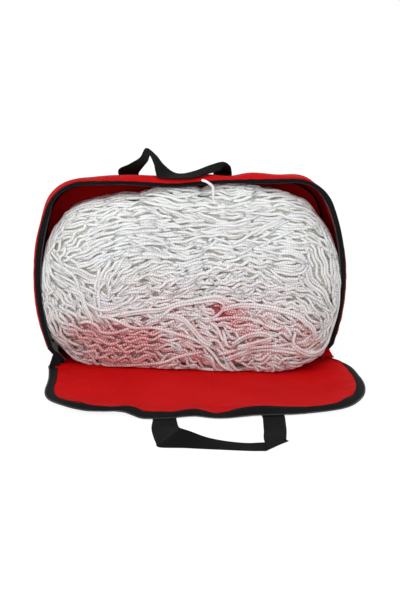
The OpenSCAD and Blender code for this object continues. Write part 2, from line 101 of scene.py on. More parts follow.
# %% Shader helpers
class Value:
    def __init__(self, finish, socket):
        self.finish, self.socket = finish, socket

    def math(self, operation, *others):
        inputs = {i: v for i, v in enumerate((self,) + others)}
        return self.finish.node("ShaderNodeMath", {"operation": operation}, inputs)

    def __add__(self, other):
        return self.math("ADD", other)

    def __sub__(self, other):
        return self.math("SUBTRACT", other)

    def __rsub__(self, other):
        return self.math("MULTIPLY", -1.0).math("ADD", other)

    def __mul__(self, other):
        return self.math("MULTIPLY", other)

    def __truediv__(self, other):
        return self.math("DIVIDE", other)

    __radd__, __rmul__ = __add__, __mul__

    def between(self, low, high):
        """0 at low, 1 at high, smooth in between."""
        return self.finish.node(
            "ShaderNodeMapRange", {"interpolation_type": "SMOOTHSTEP"},
            {"Value": self, "From Min": low, "From Max": high})


class Finish:
    def __init__(self, name, roughness=0.6, **fixed):
        self.material = bpy.data.materials.new(name)
        self.material.use_nodes = True
        self.tree = self.material.node_tree
        self.shader = self.tree.nodes["Principled BSDF"]
        self.shader.inputs["Roughness"].default_value = roughness
        for socket, value in fixed.items():
            self.shader.inputs[socket.replace("_", " ")].default_value = value

    def node(self, kind, settings=None, inputs=None, output=0):
        made = self.tree.nodes.new(kind)
        for key, value in (settings or {}).items():
            setattr(made, key, value)
        for key, value in (inputs or {}).items():
            self.feed(made.inputs[key], value)
        return Value(self, made.outputs[output])

    def feed(self, socket, value):
        if isinstance(value, Value):
            self.tree.links.new(value.socket, socket)
        else:
            socket.default_value = value

    def split(self, vector):
        made = self.tree.nodes.new("ShaderNodeSeparateXYZ")
        self.feed(made.inputs[0], vector)
        return [Value(self, s) for s in made.outputs]

    def join(self, x, y, z=0.0):
        return self.node("ShaderNodeCombineXYZ", None, {0: x, 1: y, 2: z})

    def uv(self):
        return self.node("ShaderNodeTexCoord", output="UV")

    def place(self):
        return self.node("ShaderNodeTexCoord", output="Object")

    def attribute(self, name):
        return self.node("ShaderNodeAttribute", {"attribute_name": name}, output="Fac")

    def noise(self, vector, scale, detail=2.0, roughness=0.5):
        return self.node("ShaderNodeTexNoise", None, {
            "Vector": vector, "Scale": scale, "Detail": detail, "Roughness": roughness})

    def mix(self, factor, first, second):
        made = self.tree.nodes.new("ShaderNodeMix")
        made.data_type = "RGBA"
        for key, value in ((0, factor), (6, first), (7, second)):
            self.feed(made.inputs[key], value)
        return Value(self, made.outputs[2])

    def bump(self, height, strength, distance, under=None):
        inputs = {"Height": height, "Strength": strength, "Distance": distance}
        if under is not None:
            inputs["Normal"] = under
        return self.node("ShaderNodeBump", None, inputs)

    def surface(self, **sockets):
        for socket, value in sockets.items():
            self.feed(self.shader.inputs[socket.replace("_", " ")], value)
        return self.material


def rgb(red, green, blue):
    return (red, green, blue, 1.0)


# %% [markdown]
# ## Finishes
# Red polyester is a plain weave: yarns go over and under each other about every
# half millimetre. Its bump is the product of two sine waves along the cloth's
# own two directions, so it needs UVs in metres. Webbing and zip tape are woven
# in slanted ribs. Braided cord has slanted plaits that cross, so it shows a row of
# small bright diamonds along its length: a painted highlight on the plaits' crowns,
# with painted shade between them.

# %% Cloth, tape and webbing
TAU = 2 * math.pi
YARN_PAIR = 0.0011         # metres that two yarns of the red cloth take
TAPE_RIB, WEBBING_RIB, THREAD_TWIST = 0.0011, 0.0024, 0.0008


def woven_red(name, color, dark):
    f = Finish(name, roughness=0.62, Specular_IOR_Level=0.035)
    u, v, _ = f.split(f.uv())
    warp, weft = ((way * (TAU / YARN_PAIR)).math("SINE") for way in (u, v))
    weave = warp * weft
    slub = f.noise(f.join(u * 40.0, v * 900.0), 1.0, 2.0)
    soil = f.noise(f.place(), 9.0, 4.0)
    crease = f.noise(f.place(), 46.0, 5.0, 0.62)
    tone = f.mix(soil.between(0.35, 0.75) * 0.55 + slub * 0.25, rgb(*color), rgb(*dark))
    tone = f.mix((weave * 0.5 + 0.5) * 0.25, tone, rgb(*[c * 0.6 for c in dark]))
    ground = f.bump(crease, 0.35, 0.0015)
    fine = f.bump(weave, 0.35, 0.00012, ground)
    return f.surface(Base_Color=tone, Normal=fine,
                     Roughness=0.55 + soil * 0.15 + weave * 0.04)


def woven_black(name, pitch, color, light, rough):
    """Ribs that run along U, each with slanted threads that turn at its edges."""
    f = Finish(name, roughness=rough, Specular_IOR_Level=0.06)
    u, v, _ = f.split(f.uv())
    zig = (v * (1.0 / (pitch * 2))).math("FRACT").math("SUBTRACT", 0.5).math("ABSOLUTE")
    threads = ((u / pitch + zig * 2.0) * TAU).math("SINE") * 0.5 + 0.5
    ribs = (v * (TAU / pitch)).math("SINE") * 0.5 + 0.5
    cloth = threads * 0.6 + ribs * 0.4
    dust = f.noise(f.place(), 60.0, 4.0)
    tone = f.mix(cloth * 0.6 + dust.between(0.5, 0.9) * 0.4, rgb(*color), rgb(*light))
    return f.surface(Base_Color=tone, Normal=f.bump(cloth, 0.7, pitch * 0.25),
                     Roughness=rough + dust * 0.12)


RED_SHELL = woven_red("red_shell_cloth", (0.60, 0.006, 0.008), (0.46, 0.004, 0.005))
RED_LINING = woven_red("red_lining_cloth", (0.58, 0.004, 0.005), (0.46, 0.002, 0.003))
TAPE_BLACK = woven_black("zip_tape", TAPE_RIB, (0.0022, 0.0022, 0.0026),
                         (0.009, 0.009, 0.010), 0.66)
WEB_BLACK = woven_black("webbing", WEBBING_RIB, (0.0025, 0.0025, 0.0025),
                        (0.010, 0.010, 0.010), 0.70)
print("cloth finishes", RED_SHELL.name, RED_LINING.name, TAPE_BLACK.name, WEB_BLACK.name)

# %% [markdown]
# ## Lacquer, nylon and braid
# The sliders are lacquered black, and the lacquer is worn to metal in specks. The
# coil is bare nylon. The net's cord is white, but a deep heap of it is not white
# all over: between the cords light has bounced from cord to cord, or from the red
# cloth under them. A renderer could find that by itself only with many bounces
# inside each cord, so two numbers that the mesh keeps, `low` and `red`, tint the
# cord where it lies deep or near the red.

# %% Slider, coil and cord
WEAR_GRAIN, NYLON_GRAIN = 900.0, 1500.0
PLAIT = 0.0047             # metres of cord from one plait to the next


def dark_metal():
    f = Finish("slider_lacquer", roughness=0.35)
    worn = f.noise(f.place(), WEAR_GRAIN, 4.0)
    tone = f.mix(worn.between(0.55, 0.8), rgb(0.014, 0.014, 0.015), rgb(0.07, 0.07, 0.07))
    return f.surface(Base_Color=tone, Metallic=worn.between(0.5, 0.8) * 0.6 + 0.3,
                     Roughness=0.3 + worn * 0.25)


def coil_nylon():
    f = Finish("coil_nylon", roughness=0.38)
    grain = f.noise(f.place(), NYLON_GRAIN, 2.0)
    tone = f.mix(grain, rgb(0.010, 0.010, 0.011), rgb(0.03, 0.03, 0.032))
    return f.surface(Base_Color=tone, Roughness=0.32 + grain * 0.15)


def braided_cord(name):
    """White braid. `low` says how deep a cord lies in the heap, `red` how much painted
    red light, bounced from the red cloth, it gets."""
    f = Finish(name, roughness=0.5, Specular_IOR_Level=0.3, Subsurface_Weight=0.7,
               Subsurface_Radius=(1.0, 1.0, 0.9), Subsurface_Scale=0.008)
    u, v, _ = f.split(f.uv())
    along, around = u * (TAU / PLAIT), v * TAU
    one = (along + around).math("SINE")
    two = (along - around * 2.0).math("SINE")
    plait = one * 0.32 + two * 0.18 + 0.5
    fibre = f.noise(f.join(u * 700.0, v * 60.0), 1.0, 3.0)
    # Painted light: where `low` is high the cord takes a painted greenish shade, and `red` adds
    # painted red light bounced from the red cloth, on its body and in its hollows.
    low, red = f.attribute("low"), f.attribute("red")
    deep_shade_and_bounce = f.mix(red.between(0.0, 0.8), rgb(0.93, 0.95, 0.80), rgb(0.50, 0.02, 0.03))
    body = f.mix(red.between(0.0, 0.9), rgb(0.90, 0.935, 0.935), rgb(0.74, 0.17, 0.19))
    tone = f.mix(low.between(0.15, 1.0) * 0.8, body, deep_shade_and_bounce)
    # The plaits are shaded in colour: painted shade in the gaps between them, stronger lower on
    # the heap and reddened by the painted red bounce light, and a painted highlight on their
    # crowns.
    gap = f.mix(red, rgb(0.58, 0.61, 0.60), rgb(0.50, 0.10, 0.11))
    x, _, z = f.split(f.place())
    plait_shade_strength = (0.27 - z).between(0.0, 0.12) * 0.50 + 0.20
    tone = f.mix((0.5 - plait).between(0.0, 0.4) * plait_shade_strength, tone, gap)
    tone = f.mix(plait.between(0.62, 0.95) * 0.8, tone, rgb(0.97, 0.98, 0.98))
    # Painted shade: the heap is darker towards its sides and towards the floor.
    aside, down = x.math("ABSOLUTE").between(0.15, 0.28), (0.15 - z).between(0.0, 0.12)
    tone = f.mix(aside * 0.34 + down * 0.36, tone, rgb(0.42, 0.35, 0.33))
    return f.surface(Base_Color=tone, Roughness=0.42 + fibre * 0.2,
                     Normal=f.bump(plait + fibre * 0.25, 0.8, 0.0009))


SLIDER_METAL, COIL_NYLON, NET_CORD = dark_metal(), coil_nylon(), braided_cord("net_cord")

# %% [markdown]
# ## The bag's outlines
# All the cloth follows one arch: bowed sides, round corners and a straight top,
# as in the CAD model. A piece of cloth is a plain grid whose points are then set
# on a surface written as a function of two numbers from 0 to 1.

# %% Arches in millimetres
HINGE_Y, RIM_Y, SEAM_Y, BACK_Y = -105.0, -95.0, -87.0, 105.0
RIM = dict(half=292.0, top=343.0, foot=246.0, mid=162.0, bow=385.0, corner=77.0)
FRONT_LEAN, BACK_LEAN = 7.0, 3.0


def lerp(a, b, f):
    return a + (b - a) * f


def smooth(f):
    f = np.clip(f, 0, 1)
    return f * f * (3 - 2 * f)


def gaps(points):
    """The distances between neighbouring points of a line."""
    return np.linalg.norm(np.diff(np.asarray(points, float), axis=0), axis=1)


def runs(points):
    """How far along a line each of its points lies."""
    return np.concatenate([[0], np.cumsum(gaps(points))])


def unit(vectors):
    return vectors / np.maximum(np.linalg.norm(vectors, axis=-1, keepdims=True), 1e-9)


BOW_START = 28.0           # height at which the straight foot meets the bowed side


def arch(half, top, foot, mid, bow, corner, grow=0.0, start=3.0):
    """The outline from the left foot over the top to the right foot."""
    cx = half - bow
    kx = cx + math.sqrt((bow - corner) ** 2 - (top - corner - mid) ** 2)
    ks = top - corner
    a0, a1 = math.asin((BOW_START - mid) / bow), math.atan2(ks - mid, kx - cx)
    side = np.linspace(a0, a1, 44)
    turn = np.linspace(a1, math.pi / 2, 24)[1:]
    lowest = np.array([cx + (bow + grow) * math.cos(a0), mid + (bow + grow) * math.sin(a0)])
    feet = np.linspace([foot + grow, start], lowest, 6)[:-1]
    right = np.concatenate([
        feet,
        np.stack([cx + (bow + grow) * np.cos(side), mid + (bow + grow) * np.sin(side)], 1),
        np.stack([kx + (corner + grow) * np.cos(turn), ks + (corner + grow) * np.sin(turn)], 1),
        np.stack([np.linspace(kx, 0, 40)[1:], np.full(39, top + grow)], 1),
    ])
    left = right[:-1] * [-1, 1]
    return np.concatenate([left, right[::-1]])


def dip(x, s, top):
    """The top sags a little where the rear handle pulls and lies on it."""
    return 6.0 * np.exp(-((x + 32) / 62) ** 2) * smooth((s - top + 90) / 90)


def swell(f):
    return np.sin(np.pi * f ** 0.4)


def rim():
    flat = arch(**RIM)
    flat[:, 1] -= dip(flat[:, 0], flat[:, 1], RIM["top"])
    return flat


def section(f, grow=0.0):
    """The shell's outline at depth f: 0 at its front seam, 1 at its back."""
    shape = dict(RIM, half=292 + 4 * swell(f) - 14 * f * f,
                 top=343 + 10 * swell(f) - 28 * f ** 1.5)
    flat = arch(**shape, grow=grow)
    flat[:, 1] -= dip(flat[:, 0], flat[:, 1], shape["top"]) * (1 - 0.8 * f)
    x, high = flat[:, 0].copy(), smooth((flat[:, 1] - 190) / 90)
    flat[:, 1] -= high * swell(f) * (
        5.5 * smooth((np.abs(x + 15) - 115) / 70) + 6.0 * smooth((x - 215) / 50)
        + 3.5 * np.exp(-((x + 160) / 50) ** 2) + 6.0 * np.exp(-((x - 74) / 30) ** 2))
    flat[:, 0] -= high * swell(f) * 8.0 * smooth((x - 225) / 50)
    return flat


def even(points, u):
    """Points at equal steps along a polyline, u from 0 to 1."""
    points, run = np.asarray(points, float), runs(points)
    return np.stack([np.interp(np.asarray(u) * run[-1], run, axis) for axis in points.T], -1)


def curve_through(points, u):
    """A smooth curve through points, the same share of u to each stretch."""
    p = np.asarray(points, float)
    p = np.concatenate([[2 * p[0] - p[1]], p, [2 * p[-1] - p[-2]]])
    t = np.asarray(u) * (len(points) - 1)
    k = np.minimum(t.astype(int), len(points) - 2)
    t = (t - k)[..., None]
    a, b, c, d = p[k], p[k + 1], p[k + 2], p[k + 3]
    return 0.5 * (2 * b + (c - a) * t + (2 * a - 5 * b + 4 * c - d) * t * t
                  + (3 * b - a - 3 * c + d) * t ** 3)


RIM_RUN = runs(rim())
RIM_LENGTH = RIM_RUN[-1]


def along_arch(points, u, run=RIM_RUN):
    """The points of an arch that belong to the shares u of a line's run."""
    index = np.interp(np.asarray(u) * run[-1], run, np.arange(len(run)))
    k = np.minimum(index.astype(int), len(points) - 2)
    return points[k] + (points[k + 1] - points[k]) * (index - k)[..., None]


def edge_and_inside(points, u, run=RIM_RUN):
    """Points along an arch, and the unit directions from them to its inside."""
    tangent = unit(along_arch(np.gradient(points, axis=0), u, run))
    return along_arch(points, u, run), np.stack([tangent[..., 1], -tangent[..., 0]], -1)


def stand(x, s, y, lean):
    """A point at x and s of a flat outline, in a plane that leans back at y."""
    lean = np.radians(lean)
    return np.stack([x, y + s * np.sin(lean), s * np.cos(lean)], -1)


print("rim length %.0f mm" % RIM_LENGTH)

# %% [markdown]
# ## Cloth, the general case
# Cloth could be simulated, but these pieces are sewn and stuffed tight, so their
# forms are known. One helper adds a grid primitive, sets its points on a surface,
# gives it UVs in metres for the weave, and lets a Solidify modifier thicken it.

# %% Cloth from a grid
def ripples(x, y, length, seed, waves=9):
    """Seeded soft noise from -1 to 1, about `length` millimetres from crest to crest."""
    rng = np.random.default_rng(seed)
    total = np.zeros(np.broadcast(x, y).shape)
    for _ in range(waves):
        a, phase = rng.uniform(0, math.pi), rng.uniform(0, TAU)
        k = TAU / (length * rng.uniform(0.7, 1.6))
        total = total + np.sin(k * (x * math.cos(a) + y * math.sin(a)) + phase)
    return total / math.sqrt(waves) * 0.7


def alone(obj):
    """Selects one object and nothing else."""
    bpy.ops.object.select_all(action="DESELECT")
    obj.select_set(True)
    bpy.context.view_layer.objects.active = obj


def apply(obj, kind, **settings):
    alone(obj)
    modifier = obj.modifiers.new(kind.lower(), kind)
    for key, value in settings.items():
        setattr(modifier, key, value)
    bpy.ops.object.modifier_apply(modifier=modifier.name)


def normals_of(points):
    return unit(np.cross(np.gradient(points, axis=0), np.gradient(points, axis=1)))


def points_of(mesh):
    co = np.empty(len(mesh.vertices) * 3)
    mesh.vertices.foreach_get("co", co)
    return co.reshape(-1, 3)


def cloth(name, nu, nv, surface, size, finish, thick=0.0, push=None, offset=-1.0):
    """A grid set on surface(u, v) in millimetres, with UVs in metres."""
    bpy.ops.object.select_all(action="DESELECT")
    bpy.ops.mesh.primitive_grid_add(x_subdivisions=nu, y_subdivisions=nv, size=1)
    obj = bpy.context.object
    obj.name = obj.data.name = name
    mesh, co = obj.data, points_of(obj.data)
    i = np.rint((co[:, 0] + 0.5) * nu).astype(int)
    j = np.rint((co[:, 1] + 0.5) * nv).astype(int)
    u, v = np.meshgrid(np.arange(nu + 1) / nu, np.arange(nv + 1) / nv, indexing="ij")
    points = surface(u, v)
    if push is not None:
        points = points + normals_of(points) * push(u, v, points)[..., None]
    mesh.vertices.foreach_set("co", (points[i, j] * MM).ravel())
    layer = mesh.uv_layers.active.data
    uvs = np.empty(len(layer) * 2)
    layer.foreach_get("uv", uvs)
    layer.foreach_set("uv", (uvs.reshape(-1, 2) * (np.array(size) * MM)).ravel())
    mesh.update()
    if thick:
        apply(obj, "SOLIDIFY", thickness=thick * MM, offset=offset, use_even_offset=True)
    alone(obj)
    bpy.ops.object.shade_smooth_by_angle(angle=math.radians(50))
    mesh.materials.clear()
    mesh.materials.append(finish)
    return obj


def settle(obj, body, slot, *nodes):
    """Puts a piece on its body and hides the CAD nodes that it stands for. Its slot is not
    used.
    """
    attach(obj, body)
    if nodes:
        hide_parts(*nodes)
    print(obj.name, len(obj.data.polygons), "faces")
    return obj


# %% [markdown]
# ## The bag's shell
# The boxing is one long strip that runs up one side, over the top and down the
# other. A filled bag pulls it into soft swells, with puckers along its two seams
# that fade within two or three centimetres. A lofted grid gives the form, and a
# small push along its normals gives the puckers.

# %% The boxing
SHELL = 1.4                # thickness of the shell's cloth


def shell_line(f, u, grow=0.0):
    """Points round the shell at depth f, at the shares u of the way over the top."""
    flat = along_arch(section(f, grow), u)
    return stand(flat[:, 0], flat[:, 1], lerp(SEAM_Y, BACK_Y, f),
                 lerp(FRONT_LEAN, -BACK_LEAN, f))


def boxing_surface(u, v):
    return np.stack([shell_line(v[0, j] ** 1.25, u[:, j]) for j in range(u.shape[1])], 1)


def boxing_push(u, v, points):
    run = u * RIM_LENGTH
    seam = np.exp(-v * 9) + np.exp(-(1 - v) * 8)
    pucker = ripples(run, v * 30, 21, 3) * 0.9 * seam
    slack = ripples(run, v * 190, 120, 5) * 1.8 * np.sin(np.pi * v)
    crease = -np.abs(ripples(run * 0.6 + v * 60, v * 190, 75, 8)) * 1.3 * np.sin(np.pi * v)
    return -(pucker + slack + crease)


boxing = settle(
    cloth("boxing_cloth", 420, 56, boxing_surface, (RIM_LENGTH, 195), RED_SHELL,
          thick=SHELL, push=boxing_push),
    "bag", "red_cloth", "boxing_strip")


# %% Back and base
def panel_rows(outline, u, v):
    """A flat outline filled by rows between its left and right halves."""
    n = len(outline) // 2
    left, right = outline[: n + 1], outline[n:][::-1]
    tall = left[:, 1]
    level = lerp(tall[0], tall[-1], v)
    order = np.maximum.accumulate(tall + np.arange(n + 1) * 1e-6)
    lx = np.interp(level, order, left[:, 0])
    rx = np.interp(level, order, right[:, 0])
    return lerp(lx, rx, u), level


def back_surface(u, v):
    v = v ** 0.85
    x, s = panel_rows(section(1.0), u, 1 - (1 - v) ** 1.6)
    return stand(x, s, np.full(x.shape, BACK_Y), -BACK_LEAN)


def back_push(u, v, points):
    inside = smooth(np.minimum(np.minimum(u, 1 - u) * 9, np.minimum(v, 1 - v) * 6))
    x, z = points[..., 0], points[..., 2]
    return (inside * 4.0 + ripples(x, z, 130, 11) * 1.4 * inside
            - np.abs(ripples(x, z * 0.5, 60, 12)) * 0.8 * inside)


back = settle(
    cloth("back_cloth", 110, 90, back_surface, (556, 316), RED_SHELL, thick=SHELL,
          push=back_push),
    "bag", "red_cloth", "back_panel")


BASE_HALF, HINGE_HALF = 249.0, 257.0


def base_surface(u, v):
    x = lerp(-BASE_HALF, BASE_HALF, u)
    y = lerp(HINGE_Y + 3.0, BACK_Y + 1.0, v)
    rim_up = smooth(1 - np.minimum(u, 1 - u) * 40) * 3.0
    return np.stack([x, y, 2.2 + rim_up + 0.25 * ripples(x, y, 60, 4)], -1)


base = settle(
    cloth("base_cloth", 96, 44, base_surface, (498, 206), RED_SHELL, thick=1.9),
    "bag", "red_cloth", "base_panel")


# %% [markdown]
# ## Zip tape and coil
# Half of the zip is sewn round the opening and half round the flap. The tape is
# a woven strip that waves a little between its stitches. The coil is one nylon
# wire bent into hundreds of small teeth, so one tooth is modelled and copied
# along the edge of the tape.

# %% Tape round the opening
TAPE = 0.9                 # thickness of the tape
# The body's tape across its width, as points [inwards from the rim, y]
BODY_TAPE = [[-0.6, 9.0], [0.0, 7.0], [1.4, 3.4], [3.2, 0.9], [5.4, 0.0], [9.4, -0.1]]


def wobble(u, seed):
    return ripples(u * RIM_LENGTH, 0 * u, 95, seed) * 0.9


def rim_point(u, inward, y):
    """A point of the opening, moved inwards from the rim and to and fro by y.
    Under the top the tape hangs back into the bag."""
    edge, inner = edge_and_inside(rim(), u)
    left = smooth(-edge[..., 0] / 80)
    back = np.radians(57 + 8 * ripples(u * RIM_LENGTH, 0 * u, 150, 24)) * smooth(
        (-inner[..., 1] - 0.25 + 0.20 * left) / (0.7 - 0.15 * left))
    free = np.maximum(inward - 1.0, 0)
    y = y + free * np.sin(back)
    inward = inward - free * (1 - np.cos(back))
    flat = edge + inner * inward[..., None]
    flat[..., 1] = np.maximum(flat[..., 1], 3.2)
    return stand(flat[..., 0], flat[..., 1], RIM_Y + y, FRONT_LEAN)


def body_tape_surface(u, v):
    across, free = even(BODY_TAPE, v), v ** 1.5
    return rim_point(u, across[..., 0] + wobble(u, 21) * free,
                     across[..., 1] - wobble(u, 22) * free)


body_tape = settle(
    cloth("body_tape_cloth", 520, 9, body_tape_surface, (RIM_LENGTH, 15), TAPE_BLACK,
          thick=TAPE, offset=0.0),
    "bag", "black_tape", "body_zip_tape")


# %% One tooth, copied along an edge
def bevelled_shape(offset, segments):
    """Bevels the primitive just added, and takes away its points and its faces."""
    obj = bpy.context.object
    bpy.ops.object.mode_set(mode="EDIT")
    bpy.ops.mesh.select_all(action="SELECT")
    bpy.ops.mesh.bevel(offset=offset, segments=segments, affect="EDGES")
    bpy.ops.object.mode_set(mode="OBJECT")
    co = np.array([v.co for v in obj.data.vertices])
    faces = [list(p.vertices) for p in obj.data.polygons]
    bpy.data.objects.remove(obj)
    return co, faces


def tooth_shape():
    """One bend of the coil: a rounded head on the free side and a slim body."""
    bpy.ops.object.select_all(action="DESELECT")
    bpy.ops.mesh.primitive_cube_add(size=1)
    co, faces = bevelled_shape(0.28, 2)
    co[:, 0] *= 1.25 + 0.5 * np.clip(-co[:, 1] - 0.1, 0, 1)
    return co * [1.0, 3.0, 2.2], faces


def piece_from(name, points, corners, sizes, finish, uvs=None):
    """A piece from points in millimetres, the corners of its faces, how many corners
    each face has, and the corners' UVs."""
    mesh = bpy.data.meshes.new(name)
    mesh.vertices.add(len(points))
    mesh.vertices.foreach_set("co", (points * MM).ravel())
    mesh.loops.add(corners.size)
    mesh.loops.foreach_set("vertex_index", corners.ravel().astype(np.int32))
    mesh.polygons.add(len(sizes))
    mesh.polygons.foreach_set("loop_start", (np.cumsum(sizes) - sizes).astype(np.int32))
    mesh.update(calc_edges=True)
    if uvs is not None:
        mesh.uv_layers.new(name="UVMap").data.foreach_set("uv", np.ravel(uvs))
    mesh.materials.append(finish)
    obj = bpy.data.objects.new(name, mesh)
    bpy.context.scene.collection.objects.link(obj)
    return obj


def copies(name, shape, places, finish):
    """Joins one shape at many places, each an origin and three axes, in mm."""
    co, faces = shape
    count = len(places)
    obj = piece_from(name, np.concatenate([o + co @ axes for o, axes in places]),
                     np.concatenate(faces) + np.arange(count)[:, None] * len(co),
                     np.tile([len(face) for face in faces], count), finish)
    obj.data.validate()
    alone(obj)
    bpy.ops.object.shade_smooth_by_angle(angle=math.radians(40))
    return obj


def tooth_row(edge, out):
    """Places for teeth along a line of points, with `out` the tape's free side."""
    along = unit(np.gradient(edge, axis=0))
    out = unit(out - (out * along).sum(1, keepdims=True) * along)
    up = np.cross(along, out)
    return [(edge[k], np.stack([along[k], -out[k], up[k]])) for k in range(len(edge))]


TOOTH, TOOTH_PITCH = tooth_shape(), 2.1


def even_shares(length, pitch):
    count = int(length / pitch)
    return (np.arange(count) + 0.5) / count


def body_teeth():
    u = even_shares(RIM_LENGTH, TOOTH_PITCH)
    centre, inside = (rim_point(u, inward + wobble(u, 21), -0.1 - wobble(u, 22))
                      for inward in (10.6, 14.6))
    return tooth_row(centre, inside - centre)


settle(copies("body_coil", TOOTH, body_teeth(), COIL_NYLON), "bag", "zip_coil",
       "body_zip_teeth")


# %% [markdown]
# The raw edge of the back seam is bound with the same kind of tape. It is seen
# only past the net's shoulders, so a plain strip inside the shell is enough.

# %% Binding of the back seam
BINDING_IN = -3.4          # how far inside the shell's outline it lies


def binding_surface(u, v):
    return np.stack([
        shell_line(lerp(0.925, 0.997, v[0, j]), lerp(0.03, 0.97, u[:, j]), BINDING_IN)
        for j in range(u.shape[1])], 1)


BINDING_RUN = float(gaps(section(0.96, BINDING_IN)).sum()) * 0.94
binding = settle(
    cloth("seam_binding_cloth", 200, 6, binding_surface, (BINDING_RUN, 14.5), TAPE_BLACK,
          thick=TAPE),
    "bag", "black_tape", "back_seam_binding")

# %% [markdown]
# ## The flap
# The flap is let down on the floor with its lining up. Its hem does not lie
# flat: tape and webbing are stiffer than the cloth, so the cloth stands up along
# the hem and the tape slopes down from it to the floor, in slow waves. The cloth
# runs on over the hinge line into the bag, so it is one sheet that bends there.

# %% Flap outline and heights
FLAP = dict(half=286.0, top=331.0, foot=270.0, mid=165.0, bow=620.0, corner=96.0)
TAPE_RUN = 22.0            # the flap's tape and the hem under it, across


def flap_outline(grow=0.0):
    flat = arch(**FLAP, grow=grow, start=1.3)
    flat[:, 0] += 13.0 * np.minimum(1, flat[:, 1] / 165.0)
    return flat


FLAP_EDGE = flap_outline()
FLAP_RUN = runs(FLAP_EDGE)
FLAP_LENGTH = FLAP_RUN[-1]
print("flap edge %.0f mm" % FLAP_LENGTH)

# Where the outer edge of the flap's tape really comes to lie, as points [x, v]
HEM_FORM = np.array([
    (-269, 1.3), (-268, 40), (-268, 80), (-270, 115), (-273, 150), (-272, 185), (-264, 218),
    (-249, 250), (-227, 277), (-200, 296), (-172, 302), (-147, 303), (-124, 317), (-104, 329),
    (-80, 333), (-59, 331), (-38, 325), (-14, 324), (8, 333), (24, 337), (42, 336), (62, 331),
    (84, 327), (116, 326), (145, 325), (176, 321), (206, 316), (236, 304), (258, 285),
    (274, 259), (286, 230), (294, 200), (299, 165), (300, 130), (298, 100), (296, 70),
    (292, 45), (283, 20), (274, 1.3)])
HEM_MID = np.array([13.0, 150.0])


def around_hem(x, v):
    """Angle of a point seen from the flap's middle, from the right foot round to the left."""
    return np.mod(np.degrees(np.arctan2(v - HEM_MID[1], x - HEM_MID[0])) + 90, 360)


def hem_form(x, v):
    """Moves a point of the plain outline's flap to where the real one lies."""
    shares = np.linspace(0, 1, 400)

    def far(line):
        points = even(line, shares)
        angle = around_hem(points[:, 0], points[:, 1])
        order = np.argsort(angle)
        return angle[order], np.hypot(*(points - HEM_MID).T)[order]
    angle = around_hem(x, v)
    plain = np.interp(angle, *far(FLAP_EDGE))
    formed = np.interp(angle, *far(curve_through(HEM_FORM, shares)))
    share = np.hypot(x - HEM_MID[0], v - HEM_MID[1]) / plain
    grow = 1 + (formed / plain - 1) * smooth(share) * smooth((v - 2) / 30)
    return HEM_MID[0] + (x - HEM_MID[0]) * grow, HEM_MID[1] + (v - HEM_MID[1]) * grow


def corner_lift(x, v, d):
    """The stiff tape holds both front corners a little off the floor."""
    left = smooth((-x - 105) / 55) * smooth((v - 190) / 90)
    right = smooth((x - 150) / 90) * smooth((v - 200) / 90)
    return (5.5 * left + 2.0 * right) * smooth((120 - d) / 90)


# %% Heights of the flap
# How high the cloth stands along the front hem, as points [x, height]
CREST = np.array([
    (-300, 6), (-223, 6), (-185, 4), (-148, 4), (-130, 5.5), (-111, 4.2), (-74, 6), (-55, 4.8),
    (-37, 6), (-18, 7), (0, 4.7), (19, 1.6), (38, 4.2), (56, 7.6), (75, 9.6), (105, 10.6),
    (131, 8.5), (149, 7), (187, 4.4), (224, 4.5), (300, 6)], float)


def crest(x, v):
    """Height of the cloth at the inner edge of the tape."""
    front = smooth((v - 215) / 80)
    waves = np.interp(x, CREST[:, 0], CREST[:, 1])
    right = 8.0 + 7.0 * smooth((70 - v) / 60) * smooth((x - 238) / 22)
    left = 4.5 * smooth((v - 10) / 60)
    side = right * smooth((x - 170) / 90) + left * smooth((-x - 170) / 80)
    return 2.0 + front * waves + (1 - front) * side


def hem_distance(x, v):
    """Distance from the outline of the flap, before it takes its real form."""
    shape = np.shape(x)
    p = np.stack([np.ravel(x), np.ravel(v)], 1)
    edge = even(FLAP_EDGE, np.linspace(0, 1, 260))
    best = np.full(len(p), 1e9)
    for a, b in zip(edge[:-1], edge[1:]):
        ab = b - a
        t = np.clip(((p - a) @ ab) / (ab @ ab), 0, 1)
        best = np.minimum(best, np.linalg.norm(p - a - t[:, None] * ab, axis=1))
    return best.reshape(shape)


def flap_height(x, v, d):
    """Height of the flap at d from its edge: the sloping tape, or the cloth with
    two faint creases and with folds towards its corners."""
    high, inside = crest(x, v), smooth((95 - d) / 70)
    creases = (np.exp(-((x + 104 + 0.25 * v + 0.0004 * (v - 60) ** 2) / 3.6) ** 2)
               * smooth((v - 20) / 40) * smooth((215 - v) / 40)
               + np.exp(-((x - 31 + 0.05 * v) / 3.2) ** 2) * smooth((v - 30) / 30)
               * smooth((200 - v) / 40))
    lying = 2.0 + 0.5 * ripples(x, v, 70, 31) + 1.2 * creases
    folds = ripples(x * 0.9 + v * 0.4, v, 46, 33) * 0.9
    folds = folds * smooth((120 - d) / 60) * smooth((np.abs(x) - 140) / 80)
    cloth_z = np.maximum(lerp(lying, high, inside) + folds, 1.6)
    tape_z = lerp(1.9, high, np.clip(d / TAPE_RUN, 0, 1) ** 0.9)
    return np.where(d < TAPE_RUN, tape_z, cloth_z)


# %% The flap's cloth and the fold at its hinge
def flap_surface(u, v):
    x, far = panel_rows(flap_outline(-TAPE_RUN + 2), u, 1 - (1 - v) ** 1.45)
    d = hem_distance(x, far)
    z = flap_height(x, far, np.maximum(d, TAPE_RUN))
    near = np.maximum(smooth(far / 30), smooth((x - 240) / 12))
    z = lerp(2.2, z + corner_lift(x, far, d), near)
    low = smooth((290 - far) / 60)
    x = x + low * (3.0 * smooth((x - 215) / 40) - 6.5 * smooth((-x - 205) / 40))
    x, far = hem_form(x, far)
    return np.stack([x, HINGE_Y - far, z], -1)


